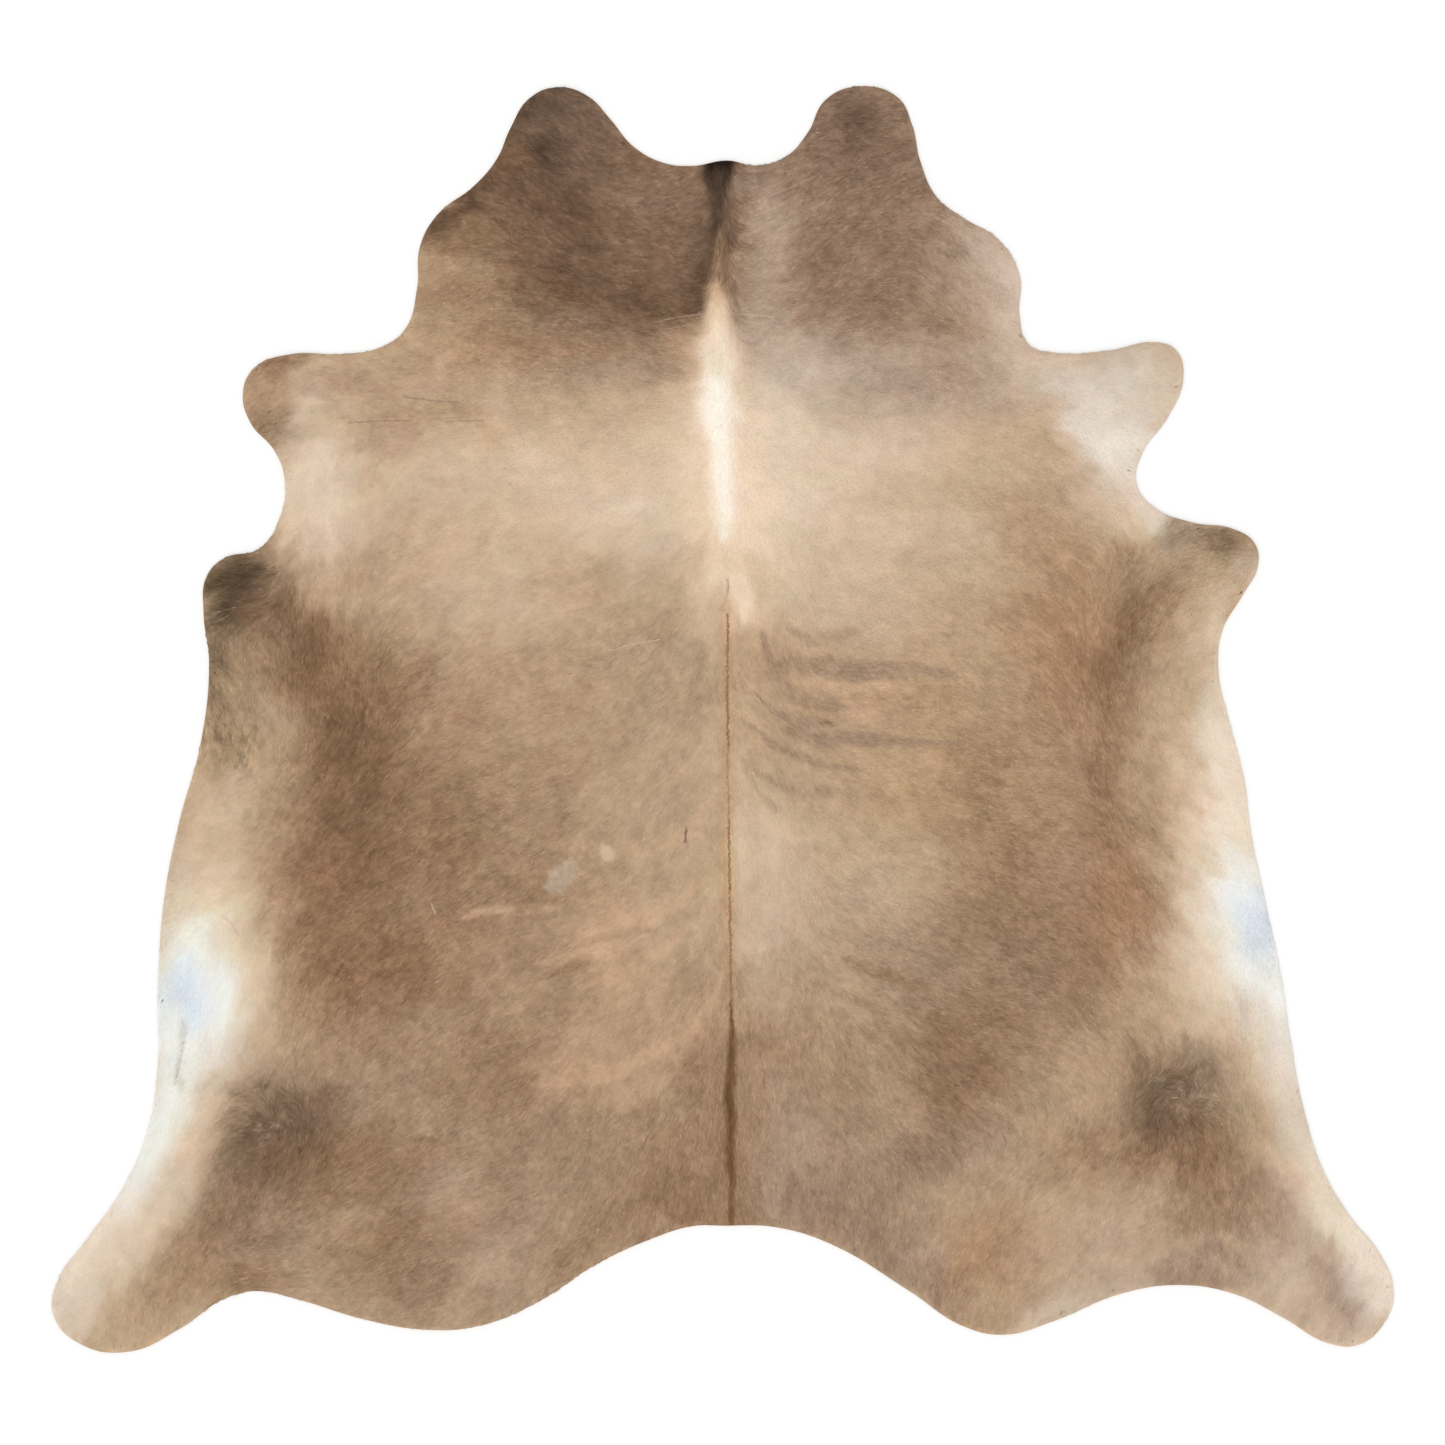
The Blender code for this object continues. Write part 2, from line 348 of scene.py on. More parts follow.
# The coat's paints, as a display shows them
PAINTS = {
    "sand": (0.755, 0.645, 0.525),
    "pale sand": (0.872, 0.783, 0.685),
    "cream": (1.00, 0.96, 0.905),
    "warm cream": (0.93, 0.86, 0.745),
    "white": (0.945, 0.945, 0.915),
    "blue white": (0.85, 0.895, 0.945),
    "pink": (0.87, 0.78, 0.685),
    "tan": (0.70, 0.575, 0.46),
    "blonde": (0.80, 0.665, 0.535),
    "rust": (0.64, 0.49, 0.365),
    "rose brown": (0.67, 0.545, 0.455),
    "mauve": (0.69, 0.60, 0.53),
    "ash": (0.60, 0.515, 0.43),
    "haunch": (0.645, 0.528, 0.425),
    "dun": (0.65, 0.548, 0.45),
    "loin": (0.61, 0.49, 0.385),
    "brown": (0.55, 0.422, 0.315),
    "deep brown": (0.445, 0.332, 0.242),
    "umber": (0.462, 0.368, 0.30),
    "dark umber": (0.33, 0.255, 0.20),
    "black brown": (0.125, 0.088, 0.062),
    "olive": (0.29, 0.23, 0.16),
    "olive tan": (0.64, 0.545, 0.42),
    "stifle": (0.432, 0.346, 0.27),
    "chestnut": (0.42, 0.30, 0.20),
    "scar": (0.694, 0.604, 0.516),
    "taupe": (0.575, 0.468, 0.388),
    "pale mauve": (0.795, 0.715, 0.64),
    "pink grey": (0.80, 0.718, 0.645),
    "peach": (0.905, 0.785, 0.655),
    "neck brown": (0.468, 0.362, 0.284),
    "bark": (0.378, 0.284, 0.212),
    "spine rust": (0.55, 0.385, 0.25),
    "gold tan": (0.745, 0.59, 0.43),
    "bone": (0.868, 0.808, 0.738),
    "fore white": (0.925, 0.885, 0.835),
    "elbow brown": (0.50, 0.41, 0.315),
    "gold brown": (0.665, 0.532, 0.402),
    "rust brown": (0.56, 0.425, 0.305),
    "brindle": (0.622, 0.518, 0.424),
    "pale cream": (0.93, 0.868, 0.788),
    "mole": (0.578, 0.47, 0.382),
    "spindle": (0.46, 0.328, 0.218),
    "loin tan": (0.738, 0.612, 0.492),
    "rose sand": (0.75, 0.645, 0.548),
    "bright sand": (0.905, 0.825, 0.725),
    "blue grey": (0.832, 0.864, 0.902),
    "cold white": (0.945, 0.957, 0.962),
    "foot pink": (0.935, 0.868, 0.81),
    "glow peach": (0.968, 0.878, 0.778),
}

GROUND = "sand"

# Soft oval markings, laid one over the other in this order. The size is half the length and
# half the width, turn is the angle of the length from the across direction, and soft is how
# far the edge fades each way, as a share of the size.
MARKINGS = [
    # place, size, turn, paint, strength, soft
    # yoke, shoulders and back
    ((0, 410), (560, 170), 0, "pale sand", 0.75, 0.7),
    ((60, 390), (330, 90), 0, "pale sand", 0.45, 0.7),
    ((-190, 345), (160, 66), 0, "pale sand", 0.42, 0.7),
    ((-190, 432), (100, 50), 0, "blonde", 0.3, 0.7),
    ((-400, 540), (300, 70), -2, "tan", 0.55, 0.6),
    ((-480, 505), (150, 14), 0, "tan", 0.5, 0.6),
    ((-555, 465), (60, 40), 10, "rose brown", 0.5, 0.6),
    ((-250, 248), (70, 50), 0, "tan", 0.35, 0.7),
    ((-560, 250), (110, 90), -20, "rose brown", 0.3, 0.7),
    ((0, 60), (620, 170), 0, "tan", 0.32, 0.7),
    ((-110, 60), (130, 110), 0, "ash", 0.35, 0.7),
    ((-300, 60), (110, 60), 0, "tan", 0.35, 0.7),
    ((-370, 205), (110, 70), 0, "pale sand", 0.42, 0.7),
    ((-265, -97), (60, 40), 0, "loin", 0.3, 0.7),
    ((-270, 208), (70, 30), 0, "tan", 0.35, 0.7),
    ((-370, 315), (110, 70), 0, "blonde", 0.3, 0.7),
    ((-592, 329), (46, 46), 0, "pale sand", 0.32, 0.7),
    ((500, 420), (110, 150), -70, "tan", 0.2, 0.6),
    ((572, 268), (112, 56), -10, "rust", 0.45, 0.6),
    ((120, 600), (140, 80), 0, "pale mauve", 0.88, 0.6),
    ((66, 400), (66, 165), 0, "bright sand", 0.75, 0.7),
    ((480, 500), (150, 80), 0, "sand", 0.4, 0.7),
    ((342, 368), (110, 50), 0, "sand", 0.45, 0.7),
    ((545, 350), (110, 54), 0, "tan", 0.45, 0.7),
    ((330, 570), (170, 80), 0, "mauve", 0.8, 0.6),
    ((368, 572), (46, 36), 0, "rust", 0.2, 0.7),
    ((150, 582), (74, 40), 0, "pink grey", 0.55, 0.7),
    ((330, 60), (260, 120), 0, "tan", 0.3, 0.7),
    ((200, 195), (120, 80), 0, "pale sand", 0.42, 0.7),
    ((370, -110), (150, 80), 0, "gold brown", 0.55, 0.7),
    ((340, 30), (90, 40), 0, "gold brown", 0.45, 0.7),
    ((300, -60), (110, 50), 0, "blonde", 0.35, 0.7),
    ((403, -48), (44, 34), 0, "brown", 0.28, 0.7),
    ((46, 36), (24, 74), 0, "blonde", 0.4, 0.8),
    ((24, 204), (50, 25), 96, "cream", 0.75, 0.5),
    ((-19, 214), (17, 26), 0, "cream", 0.52, 0.6),
    # neck
    ((-200, 830), (330, 178), -26, "neck brown", 0.88, 0.4),
    ((-270, 985), (120, 110), 0, "umber", 0.85, 0.5),
    ((-347, 962), (32, 46), -20, "dark umber", 0.5, 0.7),
    ((-300, 1028), (74, 34), 10, "dark umber", 0.46, 0.6),
    ((-288, 928), (30, 34), 10, "dark umber", 0.8, 0.7),
    ((-345, 925), (30, 34), 20, "brown", 0.6, 0.7),
    ((-275, 840), (110, 50), -50, "bark", 0.55, 0.7),
    ((-220, 700), (150, 40), -22, "bark", 0.45, 0.7),
    ((-440, 848), (72, 27), 42, "bark", 0.85, 0.6),
    ((-100, 865), (80, 44), 5, "taupe", 0.75, 0.6),
    ((-230, 665), (150, 34), -12, "neck brown", 0.55, 0.7),
    ((-230, 620), (160, 46), -6, "taupe", 0.6, 0.6),
    ((-60, 592), (34, 50), 0, "blonde", 0.68, 0.7),
    ((-98, 682), (42, 48), 30, "bark", 0.34, 0.6),
    ((-470, 722), (64, 44), -10, "tan", 0.8, 0.6),
    ((-504, 662), (38, 28), 0, "tan", 0.62, 0.7),
    ((-370, 690), (100, 60), 10, "brown", 0.45, 0.6),
    ((-358, 766), (34, 34), 0, "rust", 0.34, 0.7),
    ((-430, 790), (60, 30), 30, "brown", 0.6, 0.6),
    ((-330, 610), (200, 34), -4, "rust", 0.4, 0.6),
    ((-185, 570), (150, 28), 4, "ash", 0.45, 0.6),
    ((225, 850), (190, 220), 0, "taupe", 0.88, 0.35),
    ((232, 990), (95, 85), 0, "umber", 0.52, 0.5),
    ((226, 990), (38, 34), 0, "dark umber", 0.34, 0.6),
    ((246, 918), (60, 44), 0, "umber", 0.48, 0.7),
    ((34, 888), (48, 26), 0, "umber", 0.8, 0.7),
    ((22, 858), (26, 44), 0, "neck brown", 0.45, 0.7),
    ((70, 750), (46, 165), 4, "pale mauve", 0.5, 0.7),
    ((190, 730), (90, 50), -10, "umber", 0.2, 0.7),
    ((265, 850), (90, 60), 0, "umber", 0.3, 0.7),
    ((315, 672), (170, 50), -3, "taupe", 0.6, 0.7),
    ((480, 715), (70, 130), 16, "pink grey", 0.85, 0.6),
    ((385, 770), (55, 80), 0, "mauve", 0.4, 0.6),
    ((488, 718), (24, 60), 0, "bone", 0.45, 0.7),
    # left fore leg
    ((-670, 392), (58, 165), 4, "pink", 0.8, 0.55),
    ((-640, 560), (66, 34), -5, "rose brown", 0.24, 0.6),
    ((-752, 535), (52, 70), 10, "tan", 0.85, 0.4),
    ((-740, 596), (52, 26), 20, "brown", 0.55, 0.6),
    ((-628, 482), (44, 40), 0, "sand", 0.45, 0.7),
    ((-671, 390), (46, 50), 0, "bright sand", 0.55, 0.7),
    ((-640, 214), (50, 40), 0, "tan", 0.35, 0.7),
    ((-740, 480), (52, 32), 10, "elbow brown", 0.52, 0.7),
    # left elbow and fore flank
    ((-820, 218), (60, 66), -8, "olive", 0.7, 0.6),
    ((-815, 208), (32, 44), 0, "olive", 0.72, 0.8),
    ((-810, 116), (36, 46), 0, "elbow brown", 0.6, 0.7),
    ((-776, 200), (38, 42), 0, "dark umber", 0.56, 0.7),
    ((-756, 274), (34, 24), 0, "elbow brown", 0.34, 0.7),
    ((-722, 160), (72, 52), -20, "brown", 0.78, 0.6),
    ((-660, 60), (150, 48), -62, "deep brown", 0.8, 0.6),
    ((-610, -70), (80, 55), -60, "deep brown", 0.7, 0.7),
    ((-745, 75), (60, 40), -55, "brown", 0.65, 0.7),
    ((-618, 85), (62, 96), 75, "brown", 0.6, 0.7),
    ((-840, 88), (24, 70), 0, "olive", 0.45, 0.6),
    ((-800, -22), (50, 104), 0, "olive tan", 0.85, 0.6),
    ((-755, -160), (75, 140), 0, "sand", 0.62, 0.7),
    ((-852, -250), (55, 104), -8, "warm cream", 0.36, 0.7),
    ((-908, -285), (36, 66), 0, "bone", 0.45, 0.7),
    ((-760, 5), (42, 42), 0, "dun", 0.5, 0.7),
    # left barrel
    ((-547, -262), (182, 340), 0, "brown", 0.92, 0.42),
    ((-610, -150), (70, 120), 8, "deep brown", 0.45, 0.7),
    ((-690, -320), (44, 110), 0, "brown", 0.5, 0.6),
    ((-730, -240), (26, 120), 0, "tan", 0.5, 0.7),
    ((-580, -25), (64, 60), 0, "deep brown", 0.38, 0.7),
    ((-320, -240), (200, 230), 0, "loin", 0.5, 0.6),
    ((-400, -190), (130, 110), 0, "brown", 0.25, 0.7),
    ((-488, -296), (62, 52), 0, "haunch", 0.45, 0.7),
    ((-468, -121), (48, 38), 0, "tan", 0.32, 0.7),
    ((-432, -390), (50, 36), 0, "tan", 0.45, 0.7),
    ((-430, -30), (110, 60), 0, "tan", 0.6, 0.7),
    ((-310, -300), (90, 130), 0, "haunch", 0.75, 0.7),
    ((-115, -135), (100, 50), 0, "ash", 0.25, 0.7),
    ((-130, -120), (130, 200), 0, "sand", 0.22, 0.7),
    ((-206, -142), (44, 36), 0, "sand", 0.46, 0.7),
    # left belly
    ((-845, -400), (84, 130), 0, "warm cream", 0.75, 0.55),
    ((-872, -470), (78, 128), 6, "white", 0.95, 0.45),
    ((-886, -470), (38, 58), 8, "blue white", 0.8, 0.6),
    ((-893, -468), (20, 36), 0, "blue grey", 0.72, 0.7),
    ((-928, -498), (26, 46), 4, "blue grey", 0.6, 0.8),
    ((-900, -620), (42, 150), 6, "white", 0.85, 0.5),
    ((-930, -770), (150, 60), 66, "warm cream", 0.7, 0.6),
    ((-775, -490), (32, 160), 0, "pale sand", 0.3, 0.6),
    # left haunch
    ((-450, -790), (430, 240), 0, "dun", 0.9, 0.5),
    ((-430, -570), (220, 110), 0, "haunch", 0.75, 0.6),
    ((-400, -560), (130, 60), -10, "brown", 0.4, 0.7),
    ((-720, -672), (94, 80), 20, "stifle", 0.85, 0.6),
    ((-722, -704), (64, 46), 0, "stifle", 0.9, 0.7),
    ((-790, -790), (55, 100), -35, "mole", 0.88, 0.6),
    ((-768, -846), (50, 30), -20, "mole", 0.55, 0.7),
    ((-778, -744), (62, 46), 0, "stifle", 0.5, 0.7),
    ((-620, -750), (120, 50), -8, "brown", 0.6, 0.6),
    ((-690, -792), (60, 50), 0, "brown", 0.45, 0.7),
    ((-870, -865), (110, 40), 42, "brown", 0.45, 0.6),
    ((-868, -645), (90, 34), 72, "pale sand", 0.55, 0.7),
    ((-872, -714), (30, 46), 10, "blonde", 0.36, 0.7),
    ((-886, -624), (54, 22), 72, "white", 0.5, 0.7),
    ((-815, -928), (90, 34), 10, "brown", 0.58, 0.7),
    ((-590, -705), (130, 40), 0, "brown", 0.6, 0.6),
    ((-616, -849), (60, 40), 0, "sand", 0.62, 0.7),
    ((-520, -868), (120, 64), 0, "brown", 0.6, 0.6),
    ((-483, -940), (80, 30), 0, "loin", 0.45, 0.7),
    ((-390, -850), (110, 90), 0, "rose brown", 0.5, 0.6),
    ((-365, -908), (60, 56), 0, "rose sand", 0.5, 0.7),
    ((-1030, -880), (180, 58), 48, "pink", 0.92, 0.55),
    ((-1060, -870), (120, 34), 54, "pale cream", 0.8, 0.6),
    ((-944, -694), (124, 34), 67, "white", 0.85, 0.7),
    ((-1075, -965), (50, 60), 0, "bone", 0.6, 0.6),
    ((-955, -970), (60, 40), 30, "tan", 0.5, 0.6),
    # rump and loin
    ((20, -650), (270, 230), 0, "loin", 0.75, 0.6),
    ((10, -780), (150, 80), 0, "brown", 0.35, 0.7),
    ((118, -740), (54, 120), 0, "mauve", 0.55, 0.7),
    ((-200, -852), (140, 40), 28, "brown", 0.4, 0.7),
    ((-350, -700), (60, 110), 0, "brown", 0.25, 0.7),
    ((-160, -540), (150, 84), 14, "loin tan", 0.8, 0.6),
    ((-180, -358), (78, 56), 15, "blonde", 0.6, 0.7),
    ((-156, -434), (46, 34), 0, "blonde", 0.42, 0.7),
    ((-292, -482), (66, 52), 0, "haunch", 0.65, 0.7),
    ((-25, -580), (38, 90), 0, "loin", 0.7, 0.7),
    ((-5, -815), (60, 26), 0, "brown", 0.5, 0.7),
    # right barrel and shoulder
    ((72, -262), (58, 160), 0, "pale sand", 0.55, 0.65),
    ((230, -370), (170, 140), 0, "mauve", 0.32, 0.7),
    ((245, -502), (52, 36), 0, "loin", 0.38, 0.7),
    ((560, -280), (180, 300), 0, "brown", 0.72, 0.5),
    ((560, -250), (80, 50), 0, "rose brown", 0.5, 0.6),
    ((542, -458), (48, 38), 0, "tan", 0.34, 0.7),
    ((420, -420), (180, 100), 0, "mole", 0.6, 0.7),
    ((660, -370), (60, 60), 0, "tan", 0.35, 0.7),
    ((692, -448), (60, 48), 0, "sand", 0.56, 0.7),
    ((650, -320), (50, 100), 0, "rust", 0.55, 0.6),
    ((560, -60), (110, 120), 0, "tan", 0.45, 0.6),
    ((522, -142), (60, 76), 0, "tan", 0.45, 0.7),
    ((600, 150), (120, 80), 0, "rust", 0.65, 0.6),
    ((668, 90), (120, 40), 82, "deep brown", 0.6, 0.6),
    ((635, -60), (90, 26), 85, "brown", 0.5, 0.7),
    ((596, 58), (76, 62), 80, "rust brown", 0.55, 0.7),
    # right elbow
    ((705, 220), (80, 56), 20, "haunch", 0.65, 0.6),
    ((762, 308), (42, 26), -20, "mauve", 0.66, 0.7),
    ((835, 268), (50, 34), 0, "olive tan", 0.6, 0.6),
    ((822, 297), (48, 22), -12, "elbow brown", 0.85, 0.6),
    ((692, 190), (50, 18), 30, "deep brown", 0.5, 0.7),
    ((815, 228), (66, 22), 15, "sand", 0.6, 0.6),
    ((870, 248), (26, 32), 0, "pink grey", 0.55, 0.6),
    ((818, 150), (22, 70), 0, "pale sand", 0.55, 0.6),
    ((704, 162), (50, 44), 30, "brown", 0.5, 0.7),
    # right fore leg
    ((600, 560), (110, 50), 0, "pink grey", 0.6, 0.7),
    ((586, 512), (50, 46), 0, "sand", 0.34, 0.7),
    ((690, 545), (90, 78), -10, "bone", 0.88, 0.6),
    ((640, 448), (120, 46), -52, "fore white", 0.9, 0.7),
    ((640, 500), (50, 30), 0, "bone", 0.5, 0.6),
    ((690, 450), (34, 50), 0, "fore white", 0.5, 0.7),
    ((670, 606), (54, 24), 0, "pink grey", 0.6, 0.7),
    ((740, 560), (30, 80), -15, "sand", 0.25, 0.6),
    ((702, 348), (46, 22), -40, "fore white", 0.62, 0.6),
    ((655, 345), (50, 60), -50, "pale sand", 0.5, 0.7),
    # right flank and belly
    ((725, -20), (70, 150), 0, "sand", 0.48, 0.6),
    ((780, -416), (55, 150), 8, "pale sand", 0.55, 0.6),
    ((844, -66), (52, 146), 10, "pale cream", 0.89, 0.6),
    ((850, -230), (58, 140), 8, "pale cream", 0.92, 0.6),
    ((778, -190), (34, 156), 7, "pale sand", 0.7, 0.7),
    ((772, -262), (30, 60), 0, "pink", 0.5, 0.7),
    ((912, -490), (34, 130), 12, "white", 0.62, 0.6),
    ((945, -610), (40, 130), 14, "fore white", 0.52, 0.6),
    ((822, -370), (50, 100), 4, "pale cream", 0.65, 0.7),
    ((888, -385), (60, 140), 9, "white", 0.96, 0.55),
    ((883, -343), (33, 54), 8, "blue grey", 0.86, 0.55),
    ((806, -300), (28, 64), 4, "fore white", 0.5, 0.7),
    ((852, -290), (34, 46), 0, "cold white", 0.7, 0.9),
    # beside the cream stripe
    ((37, 354), (26, 60), 0, "cream", 0.35, 0.8),
    # right haunch
    ((500, -740), (360, 210), 0, "dun", 0.75, 0.5),
    ((762, -640), (94, 88), 0, "stifle", 0.86, 0.6),
    ((716, -612), (34, 60), 0, "stifle", 0.45, 0.7),
    ((775, -628), (34, 26), 20, "taupe", 0.4, 0.8),
    ((724, -556), (36, 26), 0, "brown", 0.34, 0.7),
    ((814, -652), (44, 50), 0, "elbow brown", 0.88, 0.7),
    ((862, -598), (34, 44), 20, "pale sand", 0.45, 0.7),
    ((655, -700), (60, 40), 0, "brown", 0.45, 0.7),
    ((615, -600), (60, 50), 30, "blonde", 0.4, 0.7),
    ((532, -686), (42, 34), 0, "blonde", 0.34, 0.7),
    ((888, -704), (58, 150), 20, "sand", 0.6, 0.6),
    ((855, -780), (135, 50), -50, "brown", 0.75, 0.6),
    ((770, -800), (80, 50), -20, "brown", 0.5, 0.7),
    ((732, -730), (60, 40), 0, "brown", 0.65, 0.7),
    ((355, -702), (100, 50), 15, "taupe", 0.6, 0.6),
    ((388, -568), (90, 96), 0, "brown", 0.75, 0.7),
    ((384, -577), (50, 50), 0, "umber", 0.2, 0.7),
    ((175, -440), (80, 44), 0, "sand", 0.45, 0.7),
    ((220, -790), (80, 60), 0, "taupe", 0.5, 0.6),
    ((240, -855), (150, 46), -28, "taupe", 0.55, 0.7),
    ((345, -938), (64, 38), -30, "taupe", 0.5, 0.7),
    ((400, -858), (50, 64), 0, "blonde", 0.4, 0.7),
    ((334, -900), (50, 36), 0, "rose sand", 0.3, 0.7),
    ((418, -1000), (70, 22), 6, "haunch", 0.55, 0.7),
    ((468, -882), (96, 66), 20, "rust", 0.74, 0.6),
    ((577, -725), (60, 50), 0, "brown", 0.35, 0.7),
    ((630, -870), (160, 90), 8, "rose sand", 0.7, 0.6),
    ((560, -790), (90, 80), 0, "blonde", 0.25, 0.7),
    ((548, -990), (76, 24), 12, "pink grey", 0.6, 0.7),
    ((640, -948), (120, 26), 8, "pink grey", 0.45, 0.7),
    ((808, -918), (90, 34), 4, "taupe", 0.8, 0.6),
    ((808, -836), (50, 34), 0, "brown", 0.4, 0.7),
    ((975, -880), (150, 80), -40, "pale mauve", 0.9, 0.55),
    ((1015, -790), (200, 38), -63, "pale cream", 0.9, 0.7),
    ((885, -812), (66, 48), -40, "brown", 0.5, 0.7),
    ((860, -914), (56, 32), 0, "rose sand", 0.5, 0.7),
    ((768, -914), (44, 28), 0, "mauve", 0.45, 0.7),
    ((890, -955), (60, 34), -10, "pink grey", 0.45, 0.7),
    ((940, -757), (50, 32), -55, "pale sand", 0.45, 0.7),
    ((1068, -948), (66, 90), 0, "foot pink", 0.62, 0.6),
    ((992, -1016), (46, 24), 0, "pink grey", 0.62, 0.7),
    ((1085, -930), (26, 60), 0, "pale cream", 0.7, 0.7),
    ((1000, -938), (58, 38), -70, "taupe", 0.5, 0.8),
    ((1028, -974), (35, 22), -60, "taupe", 0.46, 0.8),
    # small spots over the whole coat
    ((-314, -278), (40, 54), 90, "brown", 0.38, 0.8),
    ((-819, -126), (44, 40), 0, "pale sand", 0.33, 0.8),
    ((-473, -522), (50, 44), 0, "sand", 0.32, 0.8),
    ((-750, 210), (40, 36), 0, "stifle", 0.38, 0.8),
    ((-735, 131), (34, 34), 0, "dun", 0.33, 0.8),
    ((-354, 512), (44, 34), 0, "pale sand", 0.27, 0.8),
    ((-379, 468), (38, 32), 0, "blonde", 0.7, 0.8),
    ((-443, -809), (44, 40), 0, "blonde", 0.3, 0.8),
    ((-57, 725), (24, 34), 0, "dark umber", 0.3, 0.8),
    ((27, 755), (26, 36), 0, "rust brown", 0.4, 0.8),
    ((47, 903), (40, 22), 0, "neck brown", 0.33, 0.8),
    ((770, 319), (34, 22), 0, "ash", 0.5, 0.8),
    ((790, 106), (34, 40), 0, "pale sand", 0.38, 0.8),
    ((755, -141), (36, 38), 0, "blonde", 0.6, 0.8),
    ((730, -220), (40, 38), 0, "pale sand", 0.23, 0.8),
    ((704, -398), (34, 36), 0, "pale sand", 0.2, 0.8),
    ((879, -517), (34, 44), 0, "pale sand", 0.5, 0.8),
    ((787, -577), (28, 26), 0, "mauve", 0.3, 0.8),
    ((948, -686), (36, 38), 0, "pale mauve", 0.42, 0.8),
    ((1042, -945), (40, 30), 0, "pink grey", 0.45, 0.7),
]

